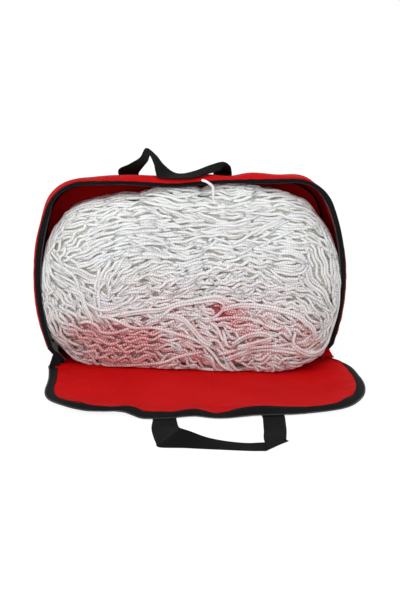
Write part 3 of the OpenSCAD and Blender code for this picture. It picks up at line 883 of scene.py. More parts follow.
flap_cloth = cloth("flap_cloth", 200, 130, flap_surface, (560, 330), RED_LINING, thick=1.5,
                   offset=1.0)
settle(flap_cloth, "flap", "red_lining", "flap_panel")


def hinge_surface(u, v):
    x = lerp(-HINGE_HALF, HINGE_HALF, u)
    y = lerp(HINGE_Y + 16.0, HINGE_Y - 12.0, v)
    return np.stack([x, y, 3.1 - 0.7 * smooth(v * 1.4) + 0 * u], -1)


hinge = cloth("hinge_cloth", 120, 16, hinge_surface, (514, 28), RED_LINING, thick=1.2)
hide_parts("flap_hinge_fold")
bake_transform(hinge)


# %% The flap's tape and teeth
def flap_edge_point(u, d, lift):
    """A point of the flap's tape, d from its outer edge. The tape turns up on edge
    where the right side is steep, and shows less of itself at the left."""
    edge, inner = edge_and_inside(FLAP_EDGE, u, FLAP_RUN)
    low = smooth((290 - edge[..., 1]) / 60)
    steep = low * smooth((edge[..., 0] - 200) / 60)
    slim = low * smooth((-edge[..., 0] - 200) / 50)
    flat = edge + inner * (d * (1 - 0.12 * steep - 0.3 * slim))[..., None]
    flat[..., 1] = np.maximum(flat[..., 1], 1.5)
    z = flap_height(flat[..., 0], flat[..., 1], np.minimum(d, TAPE_RUN)) + lift
    z = z + corner_lift(flat[..., 0], flat[..., 1], d) - 2.2 * steep * smooth((d - 11) / 6)
    x, v = hem_form(flat[..., 0], flat[..., 1])
    return np.stack([x, HINGE_Y - v, np.maximum(z, 1.2)], -1)


flap_tape = settle(
    cloth("flap_tape_cloth", 460, 12,
          lambda u, v: flap_edge_point(u, lerp(2.0, TAPE_RUN + 1.0, v), 0.8),
          (FLAP_LENGTH, 21), TAPE_BLACK, thick=TAPE, offset=0.0),
    "flap", "black_tape", "flap_zip_tape")


def flap_teeth():
    u = even_shares(FLAP_LENGTH, TOOTH_PITCH)
    centre, inside = (flap_edge_point(u, np.full(u.shape, d), 0.9) for d in (1.2, 5.2))
    return tooth_row(centre, centre - inside)


settle(copies("flap_coil", TOOTH, flap_teeth(), COIL_NYLON), "flap", "zip_coil",
       "flap_zip_teeth")

# %% [markdown]
# ## Webbing handles
# Both handles are 38 mm webbing. A strap is stiff across its width, so it folds
# and twists only along its length: each is a ruled strip between two edges that
# follow the same points as in the CAD model.

# %% Straps
Z0, PIVOT_V = 1.05, 332.9  # height of flat webbing, and the pivot's place on the flap
WEBBING = 1.5              # its thickness
# Both edges of each strap, as points [x, distance from the hinge, z] or [x, y, z]
FRONT_LEFT = [[-89, PIVOT_V, Z0], [-93, 375, Z0], [-92, 415, Z0], [-89, 450, Z0],
              [-84, 472, Z0], [-45, 478, Z0], [-15, 484, Z0], [20, 491, Z0], [55, 498, Z0],
              [75, 500, Z0], [86, 500, 1.9], [86, 470, 2.9], [87, 440, 2.9], [91, 405, Z0],
              [94, 370, Z0], [97, PIVOT_V, Z0]]
FRONT_RIGHT = [[-49, PIVOT_V, Z0], [-48, 372, 2], [-46, 408, 10], [-48, 437, 18],
               [-49, 454, 26], [-35, 455, 21.5], [-8, 454, 10], [22, 458, 4], [55, 462, Z0],
               [78, 462, Z0], [121, 461, 1.9], [122.5, 454, 2.9], [125, 436, 2.9],
               [129, 405, Z0], [132, 370, Z0], [135, PIVOT_V, Z0]]
REAR_LEFT = [[-124, 92, 303], [-128, 91, 322], [-131, 74, 342], [-109, 60, 356],
             [-90, 45, 370], [-79, 30, 390], [-61, 16, 378.5], [-48, 2, 363.5], [-30, -8, 350],
             [-12, -12, 347.5], [13, -12, 353], [39, -6, 361.5], [65, 6, 366], [81, 34, 354],
             [88, 72, 335], [90, 91, 319], [91, 92, 303]]
REAR_RIGHT = [[-86, 92, 303], [-89, 90, 320], [-92, 72, 335], [-85, 38, 352], [-77, 13, 368],
              [-73, -2, 381], [-66, -18, 367], [-64, -31, 356], [-58, -44, 346],
              [-25, -50, 344.5], [5, -49, 345], [35, -38, 351.5], [57, -20, 354], [56, 12, 355],
              [54, 66, 341], [53, 89, 326], [53, 92, 303]]


def strap(name, left, right):
    length = gaps((np.array(left) + np.array(right)) / 2).sum()

    def surface(u, v):
        a, b = curve_through(left, u), curve_through(right, u)
        crown = np.sin(np.pi * v)[..., None] * np.array([0, 0, 0.25])
        return lerp(a, b, v[..., None]) + crown
    obj = cloth(name, 10 * (len(left) - 1), 10, surface, (length, 38), WEB_BLACK,
                thick=WEBBING, offset=0.0)
    return obj, length


def on_floor(points):
    return [[x, HINGE_Y - v, z] for x, v, z in points]


front_strap, front_run = strap("front_handle_webbing", on_floor(FRONT_LEFT),
                               on_floor(FRONT_RIGHT))
settle(front_strap, "front_grip", "black_webbing", "front_handle")
front_run * MM
rear_strap, rear_run = strap("rear_handle_webbing", REAR_LEFT, REAR_RIGHT)
settle(rear_strap, "rear_grip", "black_webbing", "rear_handle")
rear_run * MM


# %% [markdown]
# ## Sewn ends and stitches
# Each strap ends in a flat patch that is sewn down with a box and a cross. A
# stitch is a short thread that dives into the cloth at both ends. One is modelled
# from a cylinder and copied along each line, turned with the cloth under it.

# %% One stitch
SEWN, WEB = 62.0, 38.0
BOX_STITCH, SEAM_STITCH = 3.2, 3.4


def stitch_shape():
    """One stitch: a short thread that dives in at both ends."""
    bpy.ops.object.select_all(action="DESELECT")
    bpy.ops.mesh.primitive_cylinder_add(vertices=6, radius=1, depth=1,
                                        rotation=(0, math.pi / 2, 0))
    bpy.ops.object.transform_apply(rotation=True)
    co, faces = bevelled_shape(0.3, 1)
    co = co * [2.3, 0.36, 0.36]
    co[:, 2] -= 0.30 * (np.abs(co[:, 0]) > 0.9)
    return co, faces


def stitch_place(place, along, up):
    return place, np.stack([along, np.cross(up, along), up])


def stitch_row(points, out):
    """Places for stitches along a polyline, each with its own way out of the cloth."""
    count = max(int(gaps(points).sum() / BOX_STITCH), 2)
    at = (np.arange(count) + 0.5) / count
    place, ahead = even(points, at), even(points, np.minimum(at + 0.2 / count, 1))
    along = unit(ahead - even(points, np.maximum(at - 0.2 / count, 0)))
    up = np.broadcast_to(np.asarray(out, float), along.shape)
    up = unit(up - (up * along).sum(1, keepdims=True) * along)
    return [stitch_place(place[k], along[k], up[k]) for k in range(count)]


STITCH = stitch_shape()
THREAD_BLACK = woven_black("black_thread", THREAD_TWIST, (0.012, 0.012, 0.013),
                           (0.05, 0.05, 0.052), 0.5)


# %% Sewn ends
def patch(name, corner, along, across, body, node, width=WEB):
    """A flat end of webbing from one corner."""
    corner, along, across = (np.array(m, float) for m in (corner, along, across))

    def surface(u, v):
        edge = 0.35 * np.sin(u * 9 + v * 3)[..., None] * np.cross(along, across)
        return corner + along * (u * SEWN)[..., None] + across * (v * width)[..., None] + edge
    end = cloth(name, 26, 16, surface, (SEWN, width), WEB_BLACK, thick=WEBBING, offset=0.0)
    settle(end, body, "black_webbing", node)


def box_and_cross(corner, along, across, out):
    """Stitches that hold a strap end: a box with a cross in it."""
    corner, along, across = (np.array(m, float) for m in (corner, along, across))
    a, b, c, d = (corner + along * far + across * aside for far, aside in (
        (5.0, 4.0), (5.0, WEB - 4.0), (43.0, WEB - 4.0), (43.0, 4.0)))
    return [place for line in ([a, b, c, d, a], [a, c], [b, d])
            for place in stitch_row(np.array(line), out)]


rear_stitches = []
back_up = np.array([0, -math.sin(math.radians(BACK_LEAN)), math.cos(math.radians(BACK_LEAN))])
back_out = np.array([0, back_up[2], -back_up[1]])
for side, rear_x, front_x, front_width in (("left", -124.0, -89.0, 40.0),
                                           ("right", 53.0, 97.0, WEB)):
    patch("front_webbing_end_" + side, (front_x, HINGE_Y - PIVOT_V + 0.9, 0.85), (0, 1, 0),
          (1, 0, 0), "flap", "front_handle_end_" + side, width=front_width)
    low = np.array([rear_x, BACK_Y, 0]) + back_up * (303.1 - 0.9 - SEWN) + back_out * 2.0
    patch("rear_webbing_end_" + side, low, back_up, (1, 0, 0), "bag", "rear_handle_end_" + side)
    rear_stitches += box_and_cross(low + back_out * 1.0, back_up, (1, 0, 0), back_out)
settle(copies("rear_box_stitches", STITCH, rear_stitches, THREAD_BLACK), "bag", "black_tape")

# %% Rows of stitches along the tapes and seams
SEAM_STEPS = 900
SEAM_V = 0.045             # how far behind its front edge the boxing is sewn


def seam_row(name, surface, out_like, body, slot, thread, lift):
    """Stitches along surface(u, v) at v = 0, with the cloth's own normals."""
    u = np.linspace(0.004, 0.996, SEAM_STEPS)
    grid = np.stack([surface(u, 0.0), surface(u, 1.0)], 1)
    normal = normals_of(grid)[:, 0]
    normal = normal * np.sign(normal @ np.array(out_like, float))[:, None]
    line = grid[:, 0] + normal * lift
    run, along = runs(line), unit(np.gradient(line, axis=0))
    index = np.interp(np.arange(SEAM_STITCH, run[-1], SEAM_STITCH), run,
                      np.arange(SEAM_STEPS)).astype(int)
    places = [stitch_place(line[k], along[k], normal[k]) for k in index]
    settle(copies(name, STITCH, places, thread), body, slot)


def front_seam(u, v):
    u = np.repeat(u[:, None], 3, 1)
    at = np.broadcast_to(SEAM_V + np.array([0.0, 0.01, 0.02]), u.shape)
    points = boxing_surface(u, at)
    points = points + normals_of(points) * boxing_push(u, at, points)[..., None]
    return points[:, int(v)]


THREAD_RED = woven_red("red_thread", (0.50, 0.010, 0.012), (0.40, 0.006, 0.008))
seam_row("tape_stitches", lambda u, v: rim_point(u, 5.2 + v + 0 * u, 0.0 * u), (0, -1, 0.2),
         "bag", "black_tape", THREAD_BLACK, lift=0.45)
seam_row("flap_tape_stitches",
         lambda u, v: flap_edge_point(u, TAPE_RUN - 3.0 + v + 0 * u, 0.8), (0, 0, 1),
         "flap", "black_tape", THREAD_BLACK, lift=0.5)
seam_row("front_seam_stitches", front_seam, (0, 0, 1e-6), "bag", "red_cloth",
         THREAD_RED, lift=0.0)

# %% [markdown]
# ## The flap's pieces
# On the floor the flap's right side stands up a little. Closed, the zip pulls the
# cloth flat. Here each of the flap's pieces only gets a mesh of its own.

# %% Each flap piece gets its own mesh
for piece in ("flap_cloth", "flap_tape_cloth", "flap_coil", "flap_tape_stitches"):
    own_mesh(bpy.data.objects[piece])

# %% [markdown]
# ## The hinge's two corners
# At the left corner the two halves of the zip tape run together and bunch up. At
# the right corner a scrap of lining closes the gap. Each scrap is blended between
# bag and flap.

# %% Where the zip runs off at the hinge
def hinge_end(name, low, high, finish):
    """A scrap of cloth between the flap, along `low`, and the bag, along `high`."""
    def surface(u, v):
        wave = 0.8 * ripples(u * 40, v * 20, 9, 61)[..., None] * np.sin(np.pi * u)[..., None]
        return lerp(curve_through(low, v), curve_through(high, v), u[..., None]) + wave
    wide = sum(gaps(edge).sum() for edge in (low, high)) / 2
    tall = np.linalg.norm(np.array(high, float) - np.array(low, float), axis=1).mean()
    obj = cloth(name, 14, 12, surface, (tall, wide), finish, thick=1.0, offset=0.0)
    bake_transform(obj)
    print(name, "%.0f by %.0f mm" % (tall, wide))


hinge_end("zip_end_left", [(-269, -110, 3), (-261, -110, 3.5), (-249, -109, 3.5)],
          [(-259, -97, 30), (-252, -97, 26), (-243, -97, 18)], TAPE_BLACK)
hinge_end("hinge_corner_right", [(244, -110, 4), (256, -111, 9), (267, -113, 11.5)],
          [(246, -96, 16), (251, -96, 21), (257, -97, 26)], RED_LINING)

# %% [markdown]
# ## Sliders and tabs
# The CAD model's sliders have their real shapes already, with plates, post, bridge
# and tab, so these solids stay and only get the worn black lacquer.

# %% Finishes on the CAD pieces that stay
for node in ("left_slider", "left_pull_tab", "right_slider", "right_pull_tab"):
    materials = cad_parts[node].data.materials
    materials.clear()
    materials.append(SLIDER_METAL)
    print(node, "is lacquered")

# %% [markdown]
# ## The net
# A folded net is a heap of parallel cords: neighbours touch at their knots and
# open into narrow lenses between them. The heap is laid as a person would fill
# the bag, one fold after another. Each fold is a few cords that follow the same
# slow curve over the bundle. A map of heights remembers what already lies there,
# so that each new cord rests on the ones below it.

# %% The bundle's form
NET_MID = np.array([3.0, 158.0])
NET_OUTLINE = np.array([
    (281, 159), (265, 231), (217, 298), (141, 321), (23, 321), (-94, 312), (-153, 306),
    (-199, 297), (-233, 279), (-265, 232), (-277, 187), (-278, 129), (-262, 52), (-216, 8),
    (-138, 1), (-22, 0), (92, 2), (189, 12), (236, 28), (254, 62), (275, 109)], float)
FACE = 0.80                # the face's share of the way from the middle to the outline
NET_FLOOR = 6.6            # the lowest that a cord's middle may lie
BURIED = -13.0             # height of the heap's inside under its surface


def polar(points):
    """Angles and distances of the outline's points from the middle, in order."""
    p, q = (points - NET_MID).T
    angle = np.mod(np.degrees(np.arctan2(q, p)), 360)
    order = np.argsort(angle)
    return angle[order], np.hypot(p, q)[order]


REACH = polar(NET_OUTLINE)


def reach(angle):
    """Distance from the bundle's middle to its outline, by direction in degrees."""
    return np.interp(np.mod(angle, 360), *REACH, period=360)


def belly(x, s):
    """How far the net swells out of the opening, most over the sill at the right."""
    low = lerp(26.0, 97.0, smooth((x + 240) / 430)) - 36.0
    return lerp(10.0, 36.0, smooth((300 - s) / 150)) + low * smooth((130 - s) / 110)


def net_point(p, q, height, back=False):
    """The 3-D point over (p, q) of the face, raised by height off the bundle."""
    far = np.hypot(p, q)
    edge = reach(np.degrees(np.arctan2(q, p))) * (0.955 if back else 1.0)
    r = far / np.maximum(edge, 1e-6)
    t = np.clip((r - FACE) / (1 - FACE), 0, None)
    turn = np.minimum(t, 1.0) * (math.pi / 2)
    radial = np.where(r < FACE, r, FACE + (1 - FACE) * np.sin(turn))
    radial = radial - 0.05 * smooth((t - 1) / 0.5)
    wide = (1 - FACE) * edge
    sole = smooth((-q / np.maximum(far, 1e-6) - 0.35) / 0.4)
    depth = lerp(44.0, 26.0, sole) * (1 - np.cos(turn)) + wide * np.maximum(0, t - 1)
    ux, uy = p / np.maximum(far, 1e-6), q / np.maximum(far, 1e-6)
    x = NET_MID[0] + ux * edge * radial + ux * np.sin(turn) * height
    s = NET_MID[1] + uy * edge * radial + uy * np.sin(turn) * height
    out = np.cos(turn) * height
    if back:
        s = s * lerp(0.90, 1.0, smooth(depth / 110))
        place = stand(x, s, 91.0 - depth + out, -BACK_LEAN)
    else:
        swell_out = belly(x, s) + 4.0 * ripples(x, s, 120, 41)
        place = stand(x, s, RIM_Y - swell_out + depth - out, FRONT_LEAN)
    place[..., 2] = np.maximum(place[..., 2], NET_FLOOR)
    return place


# %% [markdown]
# ## How the folds run
# Most folds lie across the bag, but they turn down at its sides and cross each
# other low in the front. A few directions, each at a point of the face, are
# blended into a map that every new fold follows.

# %% The way of the folds, as points (x, s, degrees)
FLOW = np.array([
    (-133, 312, 8), (-192, 298, 30), (-243, 268, 55), (-267, 212, 78), (-276, 152, 95),
    (-269, 97, -70), (-251, 56, -50), (-95, 285, 0), (-16, 291, -3), (62, 302, 0),
    (141, 313, -5), (200, 308, -25), (231, 280, -50), (254, 242, -60), (268, 197, -72),
    (279, 143, -85), (270, 99, 80), (250, 60, 60), (228, 33, 40), (-173, 248, 10),
    (-212, 230, 40), (-115, 229, -5), (-233, 182, -35), (-194, 193, -10), (-163, 181, 60),
    (-214, 151, -45), (-175, 127, -40), (-144, 150, 60), (-128, 192, 30), (-56, 261, -5),
    (2, 257, -5), (61, 234, -12), (101, 282, 0), (101, 256, 20), (140, 263, 25),
    (160, 289, 10), (180, 258, -45), (207, 258, 45), (100, 218, -3), (159, 225, -2),
    (198, 224, -3), (229, 205, -60), (248, 175, -88), (60, 200, 20), (20, 178, 25),
    (-19, 164, 15), (-58, 191, -20), (79, 170, 0), (138, 180, -30), (177, 160, 30),
    (216, 144, -70), (-117, 118, 5), (-59, 117, 10), (-20, 132, 20), (39, 131, -5),
    (98, 126, 5), (157, 114, -15), (215, 110, -30), (-98, 99, 5), (-20, 102, -25),
    (19, 95, -30), (77, 88, 5), (116, 94, 15), (174, 87, -20), (-176, 71, -30),
    (-137, 68, 0), (-79, 72, 5), (-21, 73, -25), (36, 60, -20), (94, 64, 5), (153, 68, 0),
    (203, 67, -45), (231, 73, 60), (-216, 35, -30), (-177, 27, -15), (-118, 37, -8),
    (-61, 27, 0), (-3, 37, 8), (36, 42, -40), (54, 25, -30), (93, 40, 12), (132, 45, 15),
    (190, 48, 8), (208, 26, 15)], float)


# %% Their map
HALF_P, HALF_Q = 400.0, 300.0                # half of the face's grid
FLOW_STEP, FLOW_BLUR = 6.0, 24.0


def flow_map():
    """Directions blended on a grid. An angle and its opposite mean the same."""
    x = np.arange(-HALF_P, HALF_P, FLOW_STEP) + NET_MID[0]
    s = np.arange(-HALF_Q, HALF_Q, FLOW_STEP) + NET_MID[1]
    gx, gs = np.meshgrid(x, s, indexing="ij")
    total = np.zeros(gx.shape, complex)
    for fx, fs, angle in FLOW:
        weight = np.exp(-((gx - fx) ** 2 + (gs - fs) ** 2) / (2 * FLOW_BLUR ** 2)) + 1e-12
        total += weight * np.exp(2j * math.radians(angle))
    return np.angle(total) / 2


FLOW_MAP = flow_map()
print("flow map", FLOW_MAP.shape)


def flow(p, q):
    i = min(max(int((p + HALF_P) / FLOW_STEP), 0), FLOW_MAP.shape[0] - 1)
    j = min(max(int((q + HALF_Q) / FLOW_STEP), 0), FLOW_MAP.shape[1] - 1)
    return float(FLOW_MAP[i, j])


# %% Long cords on top, and places of painted red light
# Cords that lie on top of everything, as points [x, s] of the face
TOP_CORDS = [
    [(-250, 201), (-229, 188), (-214, 167), (-209, 147), (-197, 126), (-172, 113), (-148, 113)],
    [(-233, 152), (-208, 141), (-202, 120), (-191, 96), (-187, 76)],
    [(-213, 88), (-195, 92), (-179, 84), (-169, 71), (-145, 71), (-120, 79), (-110, 81)],
    [(-141, 99), (-121, 104), (-90, 107), (-59, 109), (-28, 120), (4, 125), (43, 131),
     (61, 122), (78, 118)],
    [(-180, 103), (-145, 95), (-110, 80), (-75, 79), (-40, 72), (-6, 63), (17, 52), (35, 36),
     (47, 21), (71, 12)],
    [(-75, 95), (-51, 98), (-24, 95), (-5, 79), (13, 59), (32, 49)],
    [(-165, 14), (-119, 15), (-61, 19), (-22, 32), (16, 39)],
    [(54, 25), (93, 38), (132, 45), (185, 42), (240, 39)],
    [(43, 36), (78, 44), (116, 49), (163, 54), (194, 57), (212, 70)],
    [(186, 69), (181, 51), (205, 40), (236, 53), (248, 73), (258, 95), (262, 127), (260, 151)],
    [(-63, 95), (-35, 117), (4, 124), (43, 127), (58, 116), (38, 98), (7, 95)],
    [(67, 50), (94, 64), (126, 68), (141, 61), (113, 54), (78, 46)],
    [(34, 94), (69, 98), (108, 94), (146, 80), (166, 81)],
    [(50, 109), (82, 115), (121, 113), (160, 107), (191, 97), (213, 80), (214, 60)],
    [(104, 24), (116, 9), (131, 8), (138, 21), (127, 27)],
    [(161, 25), (169, 17), (185, 17), (189, 27)],
]
# Where the netting gets the most painted red bounce light, as (x, s, radius, strength)
RED_BOUNCE_SPOTS = [
    (-200, 62, 24, 0.9), (-150, 40, 38, 1.0), (-90, 44, 30, 1.0), (-110, 20, 42, 0.8),
    (77, 98, 23, 0.7), (46, 109, 19, 0.7), (-78, 155, 34, 0.35), (52, 185, 30, 0.3),
    (207, 64, 27, 0.6), (1, 30, 30, 0.7), (136, 94, 45, 0.45), (-20, 109, 38, 0.5),
    (-144, 127, 34, 0.3), (93, 26, 57, 0.5), (-235, 72, 23, 0.4), (196, 129, 45, 0.2),
]


# %% [markdown]
# ## The heap
# Thousands of cords could be dropped in a simulation, but that would take hours
# and would still not lie as a hand laid them. Here the heap is a grid of heights
# over the face. A new cord rests on what the grid holds under it and then raises
# the grid, so cords cross, bridge and sink as real ones do.

# %% The heap of heights
CORD_R = 2.55
CELL, BLOCK = 1.5, 8       # side of a cell, and cells along a square of a coarse map
CORD_STEP = 5.0
RELIEF = 0.34              # what is left of the heap's heights once it is pressed flat


def hann(cells):
    """A bell of weights that add up to 1."""
    kernel = np.hanning(2 * cells + 3)[1:-1]
    return kernel / kernel.sum()


class Heap:
    """Heights over the face of the bundle, on a grid of cells."""

    def __init__(self, start):
        self.shape = (int(2 * HALF_P / CELL), int(2 * HALF_Q / CELL))
        self.h = np.full(self.shape, float(start))
        k = np.arange(-2, 3)
        dx, dy = np.meshgrid(k, k, indexing="ij")
        self.dx, self.dy = dx.ravel(), dy.ravel()

    def cell(self, p, q):
        i = np.clip(((p + HALF_P) / CELL).astype(int), 3, self.shape[0] - 4)
        j = np.clip(((q + HALF_Q) / CELL).astype(int), 3, self.shape[1] - 4)
        return i, j

    def under(self, p, q):
        i, j = self.cell(p, q)
        best = self.h[i, j]
        for a, b in ((1, 0), (-1, 0), (0, 1), (0, -1)):
            best = np.maximum(best, self.h[i + a, j + b])
        return best

    def lay(self, p, q, z, radius):
        i, j = self.cell(p, q)
        d = np.hypot((i[:, None] + self.dx + 0.5) * CELL - HALF_P - p[:, None],
                     (j[:, None] + self.dy + 0.5) * CELL - HALF_Q - q[:, None])
        top = z[:, None] + np.sqrt(np.maximum(radius ** 2 - d ** 2, 0.0))
        top = np.where(d < radius, top, -1e3)
        np.maximum.at(self.h, (i[:, None] + self.dx, j[:, None] + self.dy), top)


def soften(z, cells=2):
    """The lowest smooth line that stays on or above z: a cord does not drop into
    every gap that it crosses."""
    wide = z.copy()
    for k in range(1, cells + 1):
        drop = 0.10 * k * k
        wide[k:] = np.maximum(wide[k:], z[:-k] - drop)
        wide[:-k] = np.maximum(wide[:-k], z[k:] - drop)
    return np.convolve(np.pad(wide, cells, mode="edge"), hann(cells), mode="valid")


def fold_line(p, q, half_steps, bias, curl, rng):
    """A slow curve both ways from a start, along the flow and a bias of its own."""
    wander, swing = rng.uniform(0, TAU), rng.normal(0, 0.10)
    first = flow(p, q) + bias
    sides = []
    for way in (0.0, math.pi):
        x, y, heading, line = p, q, first + way, []
        for k in range(half_steps):
            wanted = flow(x, y) + bias + swing * math.sin(k / 7.0 + wander)
            miss = math.remainder(wanted - heading, math.pi)
            heading += 0.35 * miss * (1 - abs(curl) * 3) + curl
            x, y = x + math.cos(heading) * CORD_STEP, y + math.sin(heading) * CORD_STEP
            line.append((x, y))
        sides.append(line)
    return np.array(sides[1][::-1] + [(p, q)] + sides[0])


# %% [markdown]
# ## Cords as tubes
# A curve object with a bevel would make a tube for each cord, but thousands of
# curves are slow. One mesh takes many cords at once: a ring of points round each
# step of a cord, faces between the rings, and UVs that count metres along it for
# the plait. Pressed cords are flat, so the ring is an oval.

# %% Tubes
CORD_ENDS = 0.55           # how thin a cord is where it dives under


def paint(mesh, **layers):
    """Keeps numbers at each point of a mesh, for its material to read."""
    for label, values in layers.items():
        data = mesh.attributes.new(label, "FLOAT", "POINT")
        data.data.foreach_set("value", np.asarray(values, np.float32))


def tube(line, radius, sides, flatness):
    """Points of a tube, ring by ring, and the UVs of its faces' corners."""
    along = unit(np.gradient(line, axis=0))
    side = unit(np.cross(along, np.array([0.05, -1.0, 0.25])))
    up = np.cross(side, along)
    angle = np.arange(sides) * (TAU / sides)
    radius = np.full(len(line), radius)
    radius[[0, -1]] *= CORD_ENDS
    points = (line[:, None, :] + radius[:, None, None] * (
        side[:, None, :] * np.cos(angle)[None, :, None]
        + up[:, None, :] * (flatness * np.sin(angle))[None, :, None]))
    u = np.broadcast_to((runs(line) * MM)[:, None], (len(line), sides))
    v = np.broadcast_to(np.arange(sides) / sides, (len(line) - 1, sides))
    uv = [np.stack(pair, -1) for pair in (
        (u[:-1], v), (u[:-1], v + 1 / sides), (u[1:], v + 1 / sides), (u[1:], v))]
    return points.reshape(-1, 3), np.stack(uv, 2).reshape(-1, 2)


def tube_faces(rings, sides, base):
    i = np.arange(rings - 1)[:, None] * sides + base
    ring = np.arange(sides)
    after = (ring + 1) % sides
    quad = np.stack([i + ring, i + after, i + after + sides, i + ring + sides], -1)
    return quad.reshape(-1, 4)


def cord_piece(name, cords, sides, flatness=0.56):
    """One mesh of tubes, each cord a tuple of its line, low, red and radius."""
    verts, faces, uvs, base = [], [], [], 0
    for line, _, _, radius in cords:
        points, uv = tube(line, radius, sides, flatness)
        verts.append(points)
        uvs.append(uv)
        faces.append(tube_faces(len(line), sides, base))
        base += len(points)
    faces = np.concatenate(faces)
    obj = piece_from(name, np.concatenate(verts), faces, np.full(len(faces), 4), NET_CORD,
                     np.concatenate(uvs))
    paint(obj.data, low=np.concatenate([np.repeat(cord[1], sides) for cord in cords]),
          red=np.concatenate([np.repeat(cord[2], sides) for cord in cords]))
    obj.data.polygons.foreach_set("use_smooth", np.ones(len(faces), bool))
    print(name, len(cords), "cords", len(faces), "faces")
    return obj


# %% Red light and the face's limits
def redness(place, low):
    """How much painted red light, bounced from the red cloth, the netting gets: more near the
    floor, in soft patches.
    """
    x, s = place[:, 0], place[:, 2]
    red = 0.34 * smooth((140 - s) / 110) * (1 + 0.8 * ripples(x, s, 30, 71))
    for fx, fs, wide, strength in RED_BOUNCE_SPOTS:
        far = ((x - fx) ** 2 + (s - fs) ** 2) / (1.4 * wide ** 2)
        red = red + 1.15 * strength ** 1.6 * np.exp(-far)
    return np.clip(red * (0.30 + 0.70 * low), 0, 1)


def outside(p, q):
    """How far out a point lies: 0 in the middle, 1 on the bundle's outline."""
    return np.hypot(p, q) / reach(np.degrees(np.arctan2(q, p)))


def longest_run(keep):
    ends = np.flatnonzero(np.diff(np.concatenate([[0], keep.astype(int), [0]])))
    if not len(ends):
        return 0, 0
    return max(zip(ends[::2], ends[1::2]), key=lambda run: run[1] - run[0])


# %% [markdown]
# ## Laying folds
# A person adds the net hand over hand: each fold is three to eight cords side by
# side, laid where the heap is lowest. Low in the front and in the middle the folds
# are short, wild and loose. A knot every few centimetres ties neighbours together,
# and between knots they gape.

# %% A layer of folds
SHORTEST = 7               # a cord of fewer points is not laid


class Layer:
    """What a person adds: folds of cords, each laid where the heap is lowest."""

    def __init__(self, seed, face_limit):
        self.rng, self.heap, self.laid = np.random.default_rng(seed), Heap(BURIED), []
        self.limit = face_limit
        rows, columns = self.levels().shape
        p, q = np.meshgrid((np.arange(rows) + 0.5) * BLOCK * CELL - HALF_P,
                           (np.arange(columns) + 0.5) * BLOCK * CELL - HALF_Q, indexing="ij")
        self.shut = np.where(outside(p, q) > face_limit - 0.04, 1e3, 0.0)

    def levels(self):
        """Mean heights over squares of BLOCK cells, and over their neighbours."""
        h = self.heap.h
        rows, columns = h.shape[0] // BLOCK, h.shape[1] // BLOCK
        coarse = h[: rows * BLOCK, : columns * BLOCK]
        return coarse.reshape(rows, BLOCK, columns, BLOCK).mean((1, 3))

    def level_at(self, level, p, q):
        i = ((p + HALF_P) / CELL / BLOCK).astype(int).clip(0, level.shape[0] - 1)
        j = ((q + HALF_Q) / CELL / BLOCK).astype(int).clip(0, level.shape[1] - 1)
        return level[i, j]

    def lowest(self, levels):
        """The middle of a low square, with a little chance in which one."""
        loose = levels + self.rng.uniform(0, 2.5, levels.shape) + self.shut
        i, j = np.unravel_index(int(np.argmin(loose)), levels.shape)
        i, j = i + self.rng.random(), j + self.rng.random()
        return i * BLOCK * CELL - HALF_P, j * BLOCK * CELL - HALF_Q

    def lay_cord(self, cord, radius, crown=0.0, level=None, climb=9.0):
        if len(cord) < SHORTEST:
            return
        z = soften(self.heap.under(cord[:, 0], cord[:, 1])) + radius * 0.72 + crown
        keep = outside(cord[:, 0], cord[:, 1]) < self.limit
        if level is not None:
            near = self.level_at(level, cord[:, 0], cord[:, 1])
            keep &= z < near.min() + climb
        a, b = longest_run(keep)
        cord, z = cord[a:b], z[a:b]
        if len(cord) < SHORTEST:
            return
        index = np.arange(len(z))
        z = z - 6.0 * np.clip(1 - np.minimum(index, index[::-1]) / 3.5, 0, 1)
        fine = np.linspace(0, len(cord) - 1, (len(cord) - 1) * 4 + 1)
        self.heap.lay(*(np.interp(fine, index, axis) for axis in (cord[:, 0], cord[:, 1], z)),
                      radius)
        self.laid.append((cord, z, radius))

    def fold(self, spread=1.0):
        rng, levels = self.rng, self.levels()
        p0, q0 = self.lowest(levels)
        level = np.minimum(levels, self.level_at(levels, np.array(p0), np.array(q0)) + 3.0)
        lower = float(smooth((-q0 - 10) / 90))
        middle = math.exp(-((p0 - 60) / 130) ** 2 - ((q0 + 30) / 55) ** 2)
        wild = max(lower, middle)
        count = int(rng.integers(3, 9))
        half = int(rng.integers(9, 26) * (1 - 0.45 * wild * rng.random()))
        curl = rng.normal(0, 0.015 + 0.10 * middle * (rng.random() < 0.5))
        curl = float(np.clip(curl, -0.2, 0.2))
        bias = rng.normal(0, 0.14 + 0.10 * lower + 0.22 * middle)
        line = fold_line(p0, q0, half, bias, curl, rng)
        along = unit(np.gradient(line, axis=0))
        side = np.stack([-along[:, 1], along[:, 0]], 1)
        run = np.arange(len(line)) * CORD_STEP
        pitch = rng.uniform(4.1, 4.8) * spread * (1 + 0.35 * lower * rng.random())
        knot, phase = rng.uniform(34, 56), rng.uniform(0, TAU)
        curls = (rng.uniform(0.5, 1.8) + rng.uniform(0.5, 3.6) * wild) * np.sin(
            run * TAU / rng.uniform(24, 50) + rng.uniform(0, TAU))
        gape = rng.uniform(0.0, 0.6) + 2.2 * lower * rng.random()
        for c in range(count):
            t = c - (count - 1) / 2
            lens = gape * (-1) ** c * np.cos(run * math.pi / knot + phase)
            lens = lens + 0.7 * np.sin(run / 31.0 + c * 1.7)
            lens = lens + rng.uniform(0.2, 1.2) * np.sin(run / rng.uniform(8, 15) + c * 2.3)
            cord = line + side * (t * pitch + lens + curls)[:, None]
            first = int(rng.integers(0, 5))
            last = len(cord) - int(rng.integers(0, 5))
            self.lay_cord(cord[first:last], CORD_R * rng.uniform(0.94, 1.06),
                          rng.uniform(0, 0.6), level)


